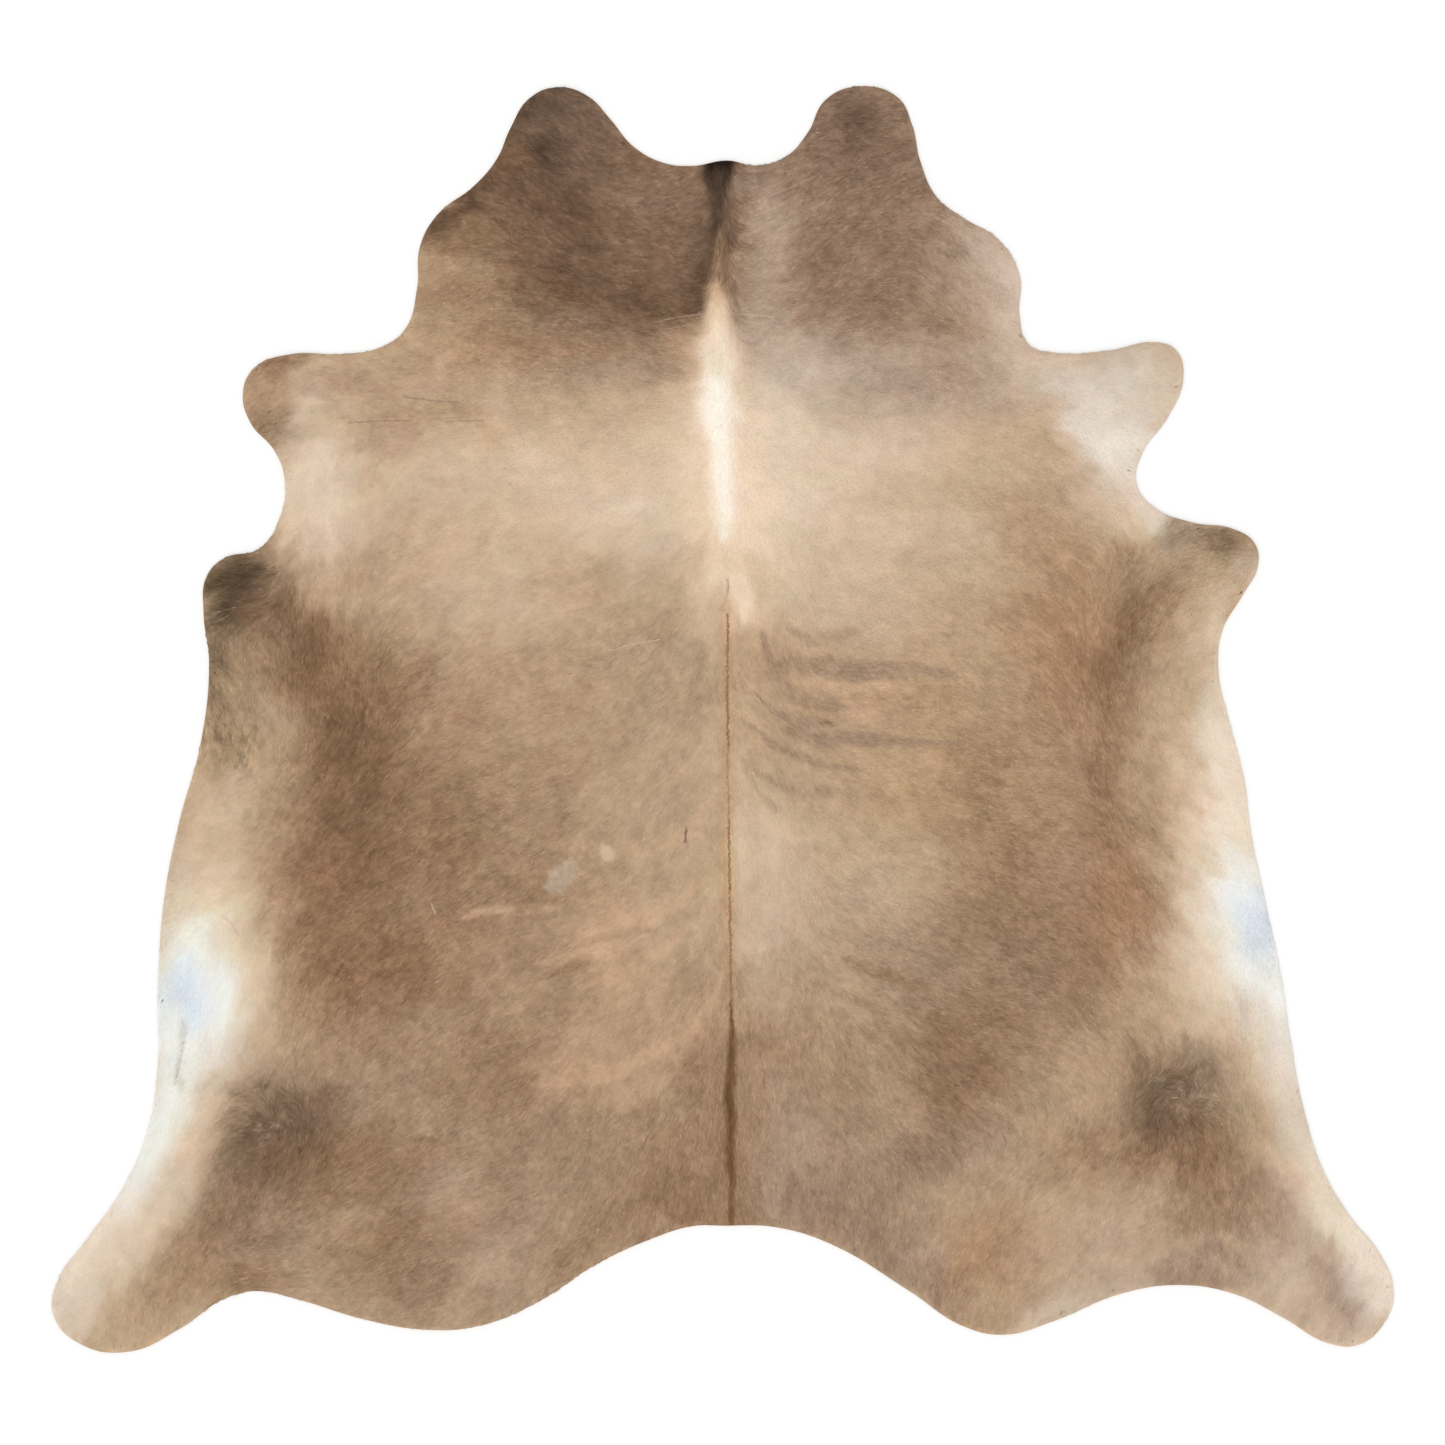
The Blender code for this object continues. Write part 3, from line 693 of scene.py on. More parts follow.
# Narrow bands along a route of places, laid over the markings in this order. Their half
# widths are spread evenly along the route.
STROKES = {
    # route, half widths, paint, strength, soft
    "crest shade": ([(-6, 940), (-8, 860), (-16, 760), (-30, 690)], (34, 18), "umber", 0.55, 0.8),
    "crest": ([(-4, 940), (-5, 905), (-6, 880)], (28, 25, 17), "black brown", 0.94, 0.45),
    "crest low": ([(-6, 888), (-8, 850), (-9, 815)], (17, 14, 9), "dark umber", 0.8, 0.7),
    "crest left": ([(-14, 800), (-24, 770), (-34, 722), (-46, 680)], (6, 12, 14), "bark", 0.65, 0.8),
    "crest right": ([(10, 850), (14, 800), (18, 750)], (8, 8, 4), "bark", 0.4, 0.9),
    "cream halo": (
        [(-10, 640), (-8, 560), (0, 430), (8, 330), (8, 185)], (26, 46, 62, 66, 60), "peach", 0.66, 0.9,
    ),
    "cream glow": (
        [(-6, 610), (-1, 430), (12, 330), (18, 285)], (30, 54, 48, 20), "glow peach", 0.64, 0.9,
    ),
    "cream stripe": (
        [(-8, 676), (-8, 610), (-7, 505), (0, 430), (3, 345), (3, 300)],
        (15, 21, 23, 24, 20, 10), "cream", 0.72, 0.8,
    ),
    "cream core": (
        [(-7, 650), (-7, 590), (-7, 500), (0, 420), (3, 345)], (8, 16, 15, 15, 10), "cream", 0.85, 0.8,
    ),
    "stripe foot": ([(-14, 262), (-16, 205), (-14, 170)], (14, 26, 16), "glow peach", 0.34, 0.9),
    "stripe top": ([(-8, 690), (-9, 640), (-9, 590)], (12, 22, 22), "peach", 0.5, 0.9),
    "tuft": ([(-6, 800), (-5, 770), (-6, 735), (-8, 700)], (4, 9, 12, 16), "gold tan", 0.32, 0.8),
    "stripe head": ([(-8, 720), (-8, 702), (-8, 668)], (4, 13, 18), "peach", 0.64, 0.9),
    "spine left pale": ([(-12, 200), (-14, 60), (-13, -180)], (20, 22, 15), "sand", 0.6, 0.9),
    "spine right pale": ([(26, -40), (26, -150), (28, -400)], (10, 13, 10), "pale sand", 0.32, 0.9),
    "spine warm": ([(2, -165), (3, -240), (2, -330)], (4, 10, 6), "gold tan", 0.36, 0.9),
    "spine glow": (
        [(9, 178), (8, 60), (9, -100), (12, -300), (14, -470)], (13, 11), "gold tan", 0.3, 1.0,
    ),
    "tail spindle": (
        [(14, -465), (15, -540), (13, -620), (13, -720), (15, -770), (16, -850)],
        (2, 6, 9, 8, 5, 5), "spindle", 0.85, 0.6,
    ),
    "spindle core": (
        [(14, -510), (12, -600), (14, -700), (15, -800)], (1, 4, 3, 1), "chestnut", 0.5, 0.9,
    ),
    "back slit": ([(8, 226), (8, 206)], (3, 3), "ash", 0.6, 0.6),
    # brindle and stripes right of the spine
    "brindle root": (
        [(66, 142), (74, 105), (88, 72), (110, 44), (148, 24), (195, 24)],
        (5, 10, 11, 9), "brindle", 0.55, 0.7,
    ),
    "brindle shelf": (
        [(95, 92), (160, 84), (230, 80), (300, 82), (380, 74)], (11, 18, 15, 8), "brindle", 0.75, 0.6,
    ),
    "brindle top": ([(108, 152), (135, 136), (165, 136), (215, 142)], (4, 12, 8), "brindle", 0.5, 0.8),
    "brindle long": (
        [(95, -12), (130, -25), (180, -36), (240, -32), (300, -38), (400, -40)],
        (5, 13, 11, 9, 3), "brindle", 0.75, 0.65,
    ),
    "brindle second": (
        [(30, 0), (60, -18), (88, -42), (128, -62), (170, -76), (225, -84)],
        (2, 6, 8, 4), "brindle", 0.75, 0.65,
    ),
    "brindle third": (
        [(50, 48), (86, 16), (120, -6), (150, -8), (185, -8)], (2, 6, 9, 4), "brindle", 0.75, 0.7,
    ),
    "brindle low": ([(50, -76), (90, -104), (132, -120), (190, -118)], (3, 9, 6), "brindle", 0.5, 0.8),
    "brindle tail": ([(30, -60), (50, -110), (90, -150)], (4, 6), "brindle", 0.3, 0.8),
    "brindle gold": (
        [(112, 62), (150, 56), (205, 52), (270, 54), (320, 48)], (2, 7, 10, 4), "blonde", 0.6, 0.65,
    ),
    "brindle gold two": ([(190, 6), (240, 6), (300, 8), (340, 0)], (6, 11), "blonde", 0.4, 0.65),
    "loin stripe": ([(210, -400), (270, -420), (330, -440)], (10, 12), "brown", 0.35, 0.6),
    "loin stripe two": ([(150, -440), (220, -460), (260, -490)], (5, 8, 3), "brown", 0.2, 0.6),
    # light streaks left of the spine
    "streak long": (
        [(2, -420), (-18, -468), (-58, -520), (-108, -550), (-170, -568)],
        (3, 9, 12, 5), "blonde", 0.55, 0.6,
    ),
    "streak inner": (
        [(-222, -352), (-170, -338), (-100, -314), (-30, -270)], (4, 13, 13, 4), "blonde", 0.5, 0.6,
    ),
    "streak high": (
        [(-25, -140), (-50, -180), (-100, -205), (-170, -215)], (8, 14), "blonde", 0.4, 0.6,
    ),
    "streak gold": ([(-428, -326), (-395, -318), (-345, -314)], (3, 9, 5), "blonde", 0.65, 0.5),
    "streak gold two": ([(-335, -322), (-300, -316), (-262, -306)], (3, 8, 5), "blonde", 0.4, 0.6),
    "streak second": ([(-310, -404), (-270, -396), (-225, -384)], (3, 8, 5), "blonde", 0.5, 0.5),
    "streak third": ([(-222, -492), (-195, -482), (-165, -470)], (3, 8, 4), "blonde", 0.5, 0.5),
    "streak fourth": (
        [(-240, -446), (-180, -424), (-110, -390), (-60, -340)], (3, 11, 11, 4), "blonde", 0.45, 0.6,
    ),
    "streak low": ([(-150, -575), (-220, -590), (-300, -600)], (12, 18, 6), "blonde", 0.4, 0.7),
    "streak lower": ([(-110, -600), (-180, -630), (-240, -640)], (18, 12), "blonde", 0.35, 0.6),
    "streak dark": ([(-215, -366), (-160, -350), (-105, -340)], (3, 8, 3), "haunch", 0.5, 0.6),
    "streak dark two": ([(-293, -424), (-258, -414), (-222, -404)], (4, 9, 4), "brown", 0.5, 0.6),
    # marks
    "scar": (
        [(-249, -226), (-253, -242), (-262, -257), (-268, -266)], (3, 13, 21, 18), "scar", 1.0, 0.08,
    ),
    "small scar": ([(-198, -203), (-193, -226)], (2, 13), "pale sand", 0.48, 0.1),
    "belly drip soft": (
        [(-888, -508), (-890, -532), (-896, -560), (-904, -596), (-890, -606)],
        (8, 5, 3, 4, 5), "ash", 0.24, 0.8,
    ),
}

# Places where the coat is specked with another paint: ragged specks about a cell wide.
SPECKS = {
    # place, size, turn, paint, strength, cell, how rare the specks are
    "left flank brindle": ((-806, -28), (58, 60), 0, "elbow brown", 0.54, 7, 0.05),
    "left stifle frost": ((-756, -670), (34, 30), 0, "pale mauve", 0.46, 4.5, 0.4),
    "right stifle frost": ((758, -606), (44, 38), 0, "pale mauve", 0.4, 4.5, 0.4),
}

# Fine lines of hair laid along a route, of one half width.
THREADS = {
    # route, half width, paint, strength
    "spine high": ([(9, 178), (8, 60), (9, -40)], 3.1, "spine rust", 0.7),
    "spine middle": ([(9, -40), (9, -100), (10, -160)], 2.8, "spine rust", 0.35),
    "spine low": ([(10, -160), (12, -300), (14, -470)], 3.1, "spine rust", 0.65),
    "spine end": ([(14, -470), (15, -540)], 3.4, "spindle", 0.6),
    # Painted highlights: pale lines laid along the neck's fold ridges, as light catching the folds
    "left crease highlight": ([(-116, 654), (-80, 662), (-40, 668)], 1.9, "pale mauve", 0.4),
    "left crease highlight two": ([(-108, 641), (-78, 647), (-50, 651)], 1.6, "pale mauve", 0.25),
    "right crease highlight": ([(22, 668), (52, 667), (82, 664)], 1.9, "bone", 0.3),
    "right crease highlight two": ([(30, 657), (62, 653), (90, 649)], 1.6, "bone", 0.25),
    "right neck streak": ([(22, 843), (90, 868), (157, 898)], 2.0, "pale mauve", 0.27),
    "right neck streak two": ([(24, 822), (80, 842), (130, 868)], 1.9, "pale mauve", 0.24),
    "right neck streak three": ([(30, 798), (100, 820), (165, 850)], 1.9, "pale mauve", 0.24),
    # Painted shade: dark lines laid along wrinkles of the neck and shoulder, as shade in the creases
    "right neck wrinkle": ([(140, 813), (190, 818), (245, 817)], 1.6, "umber", 0.45),
    "left shoulder wrinkle shade": ([(-621, 489), (-570, 492), (-519, 493)], 1.7, "taupe", 0.5),
    "left shoulder wrinkle shade two": ([(-530, 533), (-480, 526), (-435, 523)], 1.9, "taupe", 0.5),
    "left shoulder wrinkle shade three": ([(-458, 491), (-400, 493)], 1.7, "taupe", 0.4),
    "left elbow line": ([(-846, 172), (-828, 178), (-806, 184)], 1.6, "pale sand", 0.3),
    "left elbow line two": ([(-852, 156), (-834, 162), (-818, 170)], 1.4, "pale sand", 0.26),
    "left back line": ([(-190, 112), (-150, 124), (-107, 131)], 1.6, "pale sand", 0.5),
    "belly drip": ([(-888, -528), (-893, -560), (-903, -598)], 2.6, "ash", 0.22),
    "flank curve": ([(-829, -322), (-811, -335), (-801, -353)], 2.2, "brown", 0.12),
    "slit": ([(-60, -174), (-61, -199)], 3.0, "dark umber", 0.55),
    "nick": ([(-482, -300), (-475, -316)], 1.6, "bone", 0.6),
    "right flank line": ([(634, -62), (632, -95), (634, -128)], 2.0, "brown", 0.5),
}

# Which way the hair points: degrees from straight back, turning outwards from the spine.
COMB = [
    # place, degrees: first the left side, then the right, each from the neck back
    ((-280, 980), 115), ((-270, 850), 125), ((-150, 780), 110), ((-200, 690), 98), ((-450, 710), 72),
    ((-70, 870), 70), ((-400, 560), 88), ((-350, 420), 87), ((-620, 540), 95), ((-740, 530), 62),
    ((-480, 290), 66), ((-630, 370), 12), ((-660, 180), 3), ((-665, 20), -2), ((-800, 210), 88),
    ((-790, 80), -35), ((-735, 60), 5), ((-450, 130), 56), ((-250, 150), 68), ((-80, 140), 45),
    ((-400, -60), 68), ((-600, -120), 47), ((-670, -90), 32), ((-600, -310), 50), ((-800, -210), 47),
    ((-860, -240), 60), ((-865, -470), 22), ((-870, -600), 25), ((-790, -430), 16), ((-250, -330), 58),
    ((-70, -330), 42), ((-70, -560), 30), ((-330, -520), 50), ((-500, -640), 45), ((-600, -770), 58),
    ((-420, -780), 68), ((-300, -870), 45), ((-200, -680), 34), ((-80, -760), 8), ((-730, -700), 30),
    ((-810, -800), 25), ((-930, -800), 25), ((-1010, -900), 30), ((-980, -990), 5), ((-1080, -970), 38),
    ((-860, -890), 42), ((-750, -900), 80), ((230, 980), 95), ((130, 850), 128), ((150, 750), 117),
    ((260, 860), 113), ((400, 770), 50), ((455, 690), 48), ((200, 640), 100), ((350, 540), 90),
    ((300, 420), 88), ((600, 550), 100), ((730, 560), 90), ((620, 390), 57), ((500, 300), 70),
    ((450, 130), 66), ((250, 120), 87), ((60, 150), 12), ((62, 0), 45), ((60, -130), 18),
    ((70, -330), 3), ((70, -520), 2), ((80, -700), -2), ((250, -30), 79), ((500, -110), 84),
    ((250, -200), 66), ((250, -390), 72), ((480, -330), 68), ((480, -470), 76), ((660, 110), 8),
    ((655, -40), 20), ((725, 170), -35), ((800, 210), -60), ((845, 280), -76), ((790, 120), -30),
    ((790, -60), 35), ((790, -190), 56), ((700, -190), 45), ((720, -330), 33), ((850, -310), 40),
    ((850, -450), 22), ((930, -620), 5), ((640, -470), 42), ((260, -640), 42), ((400, -620), 62),
    ((500, -770), -40), ((400, -860), -30), ((330, -910), 0), ((660, -800), -38), ((735, -680), -26),
    ((850, -780), 2), ((930, -740), 8), ((990, -850), -8), ((1050, -970), -30), ((900, -900), -20),
    ((140, -770), 2),
]
COMB_REACH = 70.0  # how far one row of the comb is felt at full weight
COMB_FALL = 2.5  # how fast it is felt less past that
PARTING = 26.0  # the hair turns from straight back to the comb's way this far from the spine

# Places where the hair turns round a middle point
WHORLS = [
    # place, reach, turn (1 turns with the clock seen from above, -1 against it)
    ((-735, -660), 70, 1.0),
    ((757, -630), 65, -1.0),
]
WHORL_PULL = 1.3  # how hard a whorl turns the hair at its middle


def soft_step(amount):
    """A smooth step from 0 to 1."""
    amount = np.clip(amount, 0, 1)
    return amount * amount * (3 - 2 * amount)


def lattice_noise(across, along, cell, seed):
    """Smooth noise from -1 to 1 whose bumps are about a cell wide."""
    table = np.random.default_rng(seed).uniform(-1, 1, (LATTICE, LATTICE))
    u = across / cell + LATTICE_SHIFT[0]
    v = along / cell + LATTICE_SHIFT[1]
    i = np.floor(u).astype(int)
    j = np.floor(v).astype(int)
    f = soft_step(u - i)
    g = soft_step(v - j)
    i, j, i_next, j_next = (place % LATTICE for place in (i, j, i + 1, j + 1))
    low = table[i, j] * (1 - f) + table[i_next, j] * f
    high = table[i, j_next] * (1 - f) + table[i_next, j_next] * f
    return low * (1 - g) + high * g


def combed_noise(across, along, arrow, cell, stretch, seed):
    """Noise drawn out along the hair: plain noise added up at a row of places on its way."""
    count = 2 * stretch + 1
    total = np.zeros_like(across)
    for step in range(count):
        way = (step - stretch) * cell * NOISE_STEP
        total += lattice_noise(across + arrow[0] * way, along + arrow[1] * way, cell, seed)
    return total / np.sqrt(count)


def comb(across, along):
    """The unit arrow of the hair at each place, as its parts across and along."""
    outward = np.zeros_like(across)
    back = np.zeros_like(across)
    for place, degrees in COMB:
        near = (across - place[0]) ** 2 + (along - place[1]) ** 2
        weight = 1 / (near + COMB_REACH**2) ** COMB_FALL
        outward += weight * np.sin(np.radians(degrees))
        back += weight * np.cos(np.radians(degrees))
    angle = np.arctan2(outward, back) * (1 - np.exp(-((across / PARTING) ** 2)))
    right = np.where(across < 0, -1.0, 1.0) * np.sin(angle)
    up = -np.cos(angle)
    for place, reach, turn in WHORLS:
        off_x = across - place[0]
        off_y = along - place[1]
        away = np.hypot(off_x, off_y) + CLOSE
        pull = WHORL_PULL * np.exp(-((away / reach) ** 2)) / away
        right = right + pull * (off_x + turn * off_y)
        up = up + pull * (off_y - turn * off_x)
    size = np.hypot(right, up)
    return right / size, up / size


def oval_place(across, along, place, size, turn):
    """Where each place lies in a turned oval: along it and aside, in its half length and width."""
    angle = np.radians(turn)
    right = across - place[0]
    up = along - place[1]
    long_way = (right * np.cos(angle) + up * np.sin(angle)) / size[0]
    short_way = (up * np.cos(angle) - right * np.sin(angle)) / size[1]
    return long_way, short_way


def patch_cover(across, along, place, size, turn, soft):
    """How much of one soft oval patch lies here, from 0 to 1."""
    away = np.hypot(*oval_place(across, along, place, size, turn))
    return soft_step((1 + soft - away) / (2 * soft))


def beside_line(x, y, start, end):
    """How far along a straight line each place lies, from 0 to 1, how far off it, and its side."""
    step = end - start
    off_x = x - start[0]
    off_y = y - start[1]
    way = np.clip((off_x * step[0] + off_y * step[1]) / (step**2).sum(0), 0, 1)
    off = np.hypot(off_x - way * step[0], off_y - way * step[1])
    return way, off, step[0] * off_y - step[1] * off_x


def smooth_route(route):
    """The route as a smooth line through its places, in short straight steps."""
    places = np.array(route, float)
    before = 2 * places[0] - places[1]
    after = 2 * places[-1] - places[-2]
    ends = np.vstack([before, places, after])
    line = []
    for k in range(1, len(ends) - 2):
        a, b, c, d = ends[k - 1 : k + 3]
        for u in np.arange(ROUTE_STEPS) / ROUTE_STEPS:
            line.append(
                b
                + 0.5 * u * (c - a)
                + u**2 * (a - 2.5 * b + 2 * c - 0.5 * d)
                + u**3 * (1.5 * (b - c) + 0.5 * (d - a))
            )
    line.append(places[-1])
    return np.array(line)


def stroke_cover(across, along, route, widths, soft):
    """How much of one stroke lies here, from 0 to 1. Its half widths are spread evenly along it."""
    line = smooth_route(route)
    reach = max(widths) * (1 + soft)
    low = line.min(0) - reach
    high = line.max(0) + reach
    near = (across > low[0]) & (across < high[0]) & (along > low[1]) & (along < high[1])
    nearest = np.full(near.sum(), np.inf)
    stations = np.linspace(0, 1, len(widths))
    for k, ends in enumerate(zip(line, line[1:])):
        way, off, _ = beside_line(across[near], along[near], *ends)
        width = np.interp((k + way) / (len(line) - 1), stations, widths)
        nearest = np.minimum(nearest, off / width)
    cover = np.zeros_like(across)
    cover[near] = soft_step((1 + soft - nearest) / (2 * soft))
    return cover


def unevenness(colour):
    """How strong clouds and flecks are: both are stronger where the coat is dark."""
    dark = PALE - colour.mean(1)
    return {
        "clouds": np.clip(1 + CLOUD_GROWTH * dark, *CLOUD_RANGE),
        "flecks": np.clip(FLECK_GROWTH * (dark - FLECK_START), *FLECK_RANGE),
    }


def shaded(colour, shade):
    """The colour made lighter or darker, partly by grey."""
    base = (1 - FADE) * colour + FADE * colour.mean(1)[:, None]
    return colour + shade[:, None] * base


def coat_colours(across, along, paints):
    """The coat's colour at each place, in the display's own values from 0 to 1."""
    arrow = comb(across, along)
    slide = sum(far * combed_noise(across, along, arrow, *noise) for far, *noise in SLIDES)
    sway = SWAY * lattice_noise(across, along, SWAY_CELL, SWAY_SEED)
    off_x = arrow[0] * slide - arrow[1] * sway
    off_y = arrow[1] * slide + arrow[0] * sway
    colour = np.tile(paints[GROUND], (across.size, 1))

    def dragged(share):
        """Every place, dragged by that share of the way."""
        return across + share * off_x, along + share * off_y

    def lay(tone, cover):
        """Lays a paint over the colours so far."""
        colour[:] += cover[:, None] * (paints[tone] - colour)

    places = dragged(1)
    for place, size, turn, tone, strength, soft in MARKINGS:
        lay(tone, strength * patch_cover(*places, place, size, turn, soft))
    places = dragged(STROKE_RAGGED)
    for route, widths, tone, strength, soft in STROKES.values():
        lay(tone, strength * stroke_cover(*places, route, widths, soft))
    for k, (place, size, turn, tone, strength, cell, rare) in enumerate(SPECKS.values()):
        grain = combed_noise(across, along, arrow, cell, 1, SPECK_SEED + k)
        specks = strength * soft_step((grain - rare) / SPECK_EDGE)
        lay(tone, specks * patch_cover(across, along, place, size, turn, STYLE_SOFT))

    strengths = unevenness(colour)
    shade = np.zeros_like(across)
    hue = np.zeros_like(colour)
    for k, (cell, stretch, ragged, kind, dark, warm, rosy) in enumerate(MOTTLES):
        places = dragged(ragged)
        shade += strengths[kind] * dark * combed_noise(*places, arrow, cell, stretch, MOTTLE_SEED + k)
        for share, way, seed in ((warm, WARMER, WARM_SEED), (rosy, ROSIER, ROSY_SEED)):
            cloud = combed_noise(*places, arrow, cell * HUE_CELL, stretch, seed + k)
            hue += share * cloud[:, None] * way
    return np.clip(shaded(colour, shade) * (1 + hue), 0, 1)


def linear(colour):
    """Display values as the light values that the renderer works in."""
    colour = np.asarray(colour, float)
    return np.where(colour <= 0.04045, colour / 12.92, ((colour + 0.055) / 1.055) ** 2.4)


def coat_height(across, along):
    """Height of the coat's surface over the floor, away from the trimmed edge."""
    height = np.full_like(across, SKIN + COAT)
    for place, size, turn, rise in (*RELIEFS.values(), *CREASES.values()):
        long_way, short_way = oval_place(across, along, place, size, turn)
        height += rise * np.exp(-(long_way**2 + short_way**2))
    for length, turn, start, rise in WAVES:
        angle = np.radians(turn)
        distance = across * np.cos(angle) + along * np.sin(angle)
        height += rise * np.sin(2 * pi * distance / length + np.radians(start))
    return np.maximum(height, THINNEST)


def rim_share(inside):
    """The share of its full height that the coat keeps this far inside the trimmed edge."""
    toward = 1 - np.clip(inside / RIM, 0, 1)
    return RIM_LOWEST + (1 - RIM_LOWEST) * np.sqrt(1 - toward**2)


def coat_surface(edge, across, along):
    """Height of the hair's surface, also past the edge, where the hair droops a little."""
    inside = edge.inside(across, along)
    return coat_height(across, along) * rim_share(inside) + DROOP * np.minimum(inside, 0)


def flat_places(points):
    """Across and along of each point of a mesh, in millimetres."""
    return (np.array([point.co[:2] for point in points]) / MM).T


class TrimmedEdge:
    """The hide's edge as one smooth closed curve, and how far inside it a place lies."""

    def __init__(self):
        self.mesh = self.loop_mesh()
        self.places = flat_places(self.mesh.vertices).T
        self.half = np.abs(self.places).max(0)
        self.tree = KDTree(len(self.places))
        for k, place in enumerate(self.places):
            self.tree.insert((*place, 0), k)
        self.tree.balance()

    def loop_mesh(self):
        """The edge's points in order, as a closed loop of a mesh."""
        data = bpy.data.curves.new("trimmed edge", "CURVE")
        data.dimensions = "2D"
        data.fill_mode = "NONE"
        data.resolution_u = EDGE_STEPS
        spline = data.splines.new("BEZIER")
        points = [point for stretch in EDGE.values() for point in stretch]
        spline.bezier_points.add(len(points) - 1)
        for knot, (across, along) in zip(spline.bezier_points, points):
            knot.co = Vector((across, along, 0)) * MM
            knot.handle_left_type = "AUTO"
            knot.handle_right_type = "AUTO"
        spline.use_cyclic_u = True
        curve = bpy.data.objects.new("trimmed edge", data)
        bpy.context.scene.collection.objects.link(curve)
        bpy.context.view_layer.update()
        evaluated = curve.evaluated_get(bpy.context.evaluated_depsgraph_get())
        mesh = bpy.data.meshes.new_from_object(evaluated)
        bpy.data.objects.remove(curve, do_unlink=True)
        bpy.data.curves.remove(data)
        return mesh

    def inside(self, across, along):
        """Millimetres from the edge, above 0 inside the hide and below 0 outside it."""
        nearest = [self.tree.find((x, y, 0))[1] for x, y in zip(across.tolist(), along.tolist())]
        nearest = np.array(nearest)
        best = np.full(across.shape, np.inf)
        sign = np.ones(across.shape)
        for start in (nearest - 1, nearest):
            ends = [self.places[k % len(self.places)].T for k in (start, start + 1)]
            _, off, side = beside_line(across, along, *ends)
            nearer = off < best
            sign[nearer] = np.where(side[nearer] < 0, 1.0, -1.0)
            best = np.minimum(best, off)
        return sign * best


def new_material(name):
    """A new material and its nodes."""
    material = bpy.data.materials.new(name)
    material.use_nodes = True
    return material, material.node_tree


def add_node(tree, kind, inputs=(), **settings):
    """A node with its settings, and its inputs set to values or linked from other nodes."""
    node = tree.nodes.new(kind)
    for name, value in settings.items():
        setattr(node, name, value)
    for socket, value in dict(inputs).items():
        if isinstance(value, bpy.types.NodeSocket):
            tree.links.new(value, node.inputs[socket])
        else:
            node.inputs[socket].default_value = value
    return node


def finish_shader(tree, roughness, gloss, sheen=0.0):
    """Sets the main shader's plain values, and gives the shader."""
    shader = tree.nodes["Principled BSDF"]
    shader.inputs["Roughness"].default_value = roughness
    shader.inputs["Specular IOR Level"].default_value = gloss
    shader.inputs["Sheen Weight"].default_value = sheen
    shader.inputs["Sheen Roughness"].default_value = SHEEN_ROUGHNESS
    return shader


def add_finish(tree, name, where):
    """Gives the surface the grain, bump and gloss of that finish: its shader and its grain."""
    scale, detail, uneven, bump, depth, roughness, gloss = FINISHES[name]
    noise = {"Vector": where, "Scale": scale, "Detail": detail, "Roughness": uneven}
    grain = add_node(tree, "ShaderNodeTexNoise", noise).outputs["Fac"]
    relief = {"Height": grain, "Strength": bump, "Distance": depth}
    bumps = add_node(tree, "ShaderNodeBump", relief)
    shader = finish_shader(tree, roughness, gloss, SHEEN)
    tree.links.new(bumps.outputs["Normal"], shader.inputs["Normal"])
    return shader, grain


def show_markings(tree, shader, grain, greys):
    """The markings' colour, a little lighter or darker with the grain."""
    spans = ("From Min", "From Max", "To Min", "To Max")
    spread = {"Value": grain, **dict(zip(spans, (*GRAIN_SPAN, *greys)))}
    shade = add_node(tree, "ShaderNodeMapRange", spread).outputs["Result"]
    markings = add_node(tree, "ShaderNodeAttribute", attribute_name=COLOUR_LAYER).outputs["Color"]
    both = {MIX_FACTOR: 1.0, MIX_A: markings, MIX_B: shade}
    mix = add_node(tree, "ShaderNodeMix", both, data_type="RGBA", blend_type="MULTIPLY")
    tree.links.new(mix.outputs[MIX_RESULT], shader.inputs["Base Color"])


def hair_material():
    """Flat locks of short hair: the markings' colour, with single hairs drawn along each lock."""
    material, tree = new_material("combed hair")
    strand = add_node(tree, "ShaderNodeUVMap", uv_map=STRAND_MAP).outputs["UV"]
    drawn = add_node(tree, "ShaderNodeMapping", {"Vector": strand, "Scale": STRAND_SCALE})
    show_markings(tree, *add_finish(tree, "combed hair", drawn.outputs["Vector"]), HAIR_GREYS)
    return material


def under_hair_material():
    """The dense hair under the locks, mottled finely."""
    material, tree = new_material("under hair")
    place = add_node(tree, "ShaderNodeTexCoord").outputs["Object"]
    show_markings(tree, *add_finish(tree, "under hair", place), UNDER_GREYS)
    return material


def skin_material(name):
    """Tanned skin in two tones: the cut edge, or the rough flesh side."""
    material, tree = new_material(name)
    place = add_node(tree, "ShaderNodeTexCoord").outputs["Object"]
    shader, grain = add_finish(tree, name, place)
    tones = add_node(tree, "ShaderNodeValToRGB", {"Fac": grain})
    for stop, value, tone in zip(tones.color_ramp.elements, TONE_STOPS, SKIN_TONES[name]):
        stop.position = value
        stop.color = (*linear(tone), 1.0)
    tree.links.new(tones.outputs["Color"], shader.inputs["Base Color"])
    return material


def place_piece(piece):
    """Links a finished piece, gives it its body and hides the imported part that it stands for."""
    bpy.context.scene.collection.objects.link(piece)
    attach(piece, BODY)
    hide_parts(NODE)
    return piece


def only(kind, items):
    """The items that are of one kind."""
    return [item for item in items if isinstance(item, kind)]


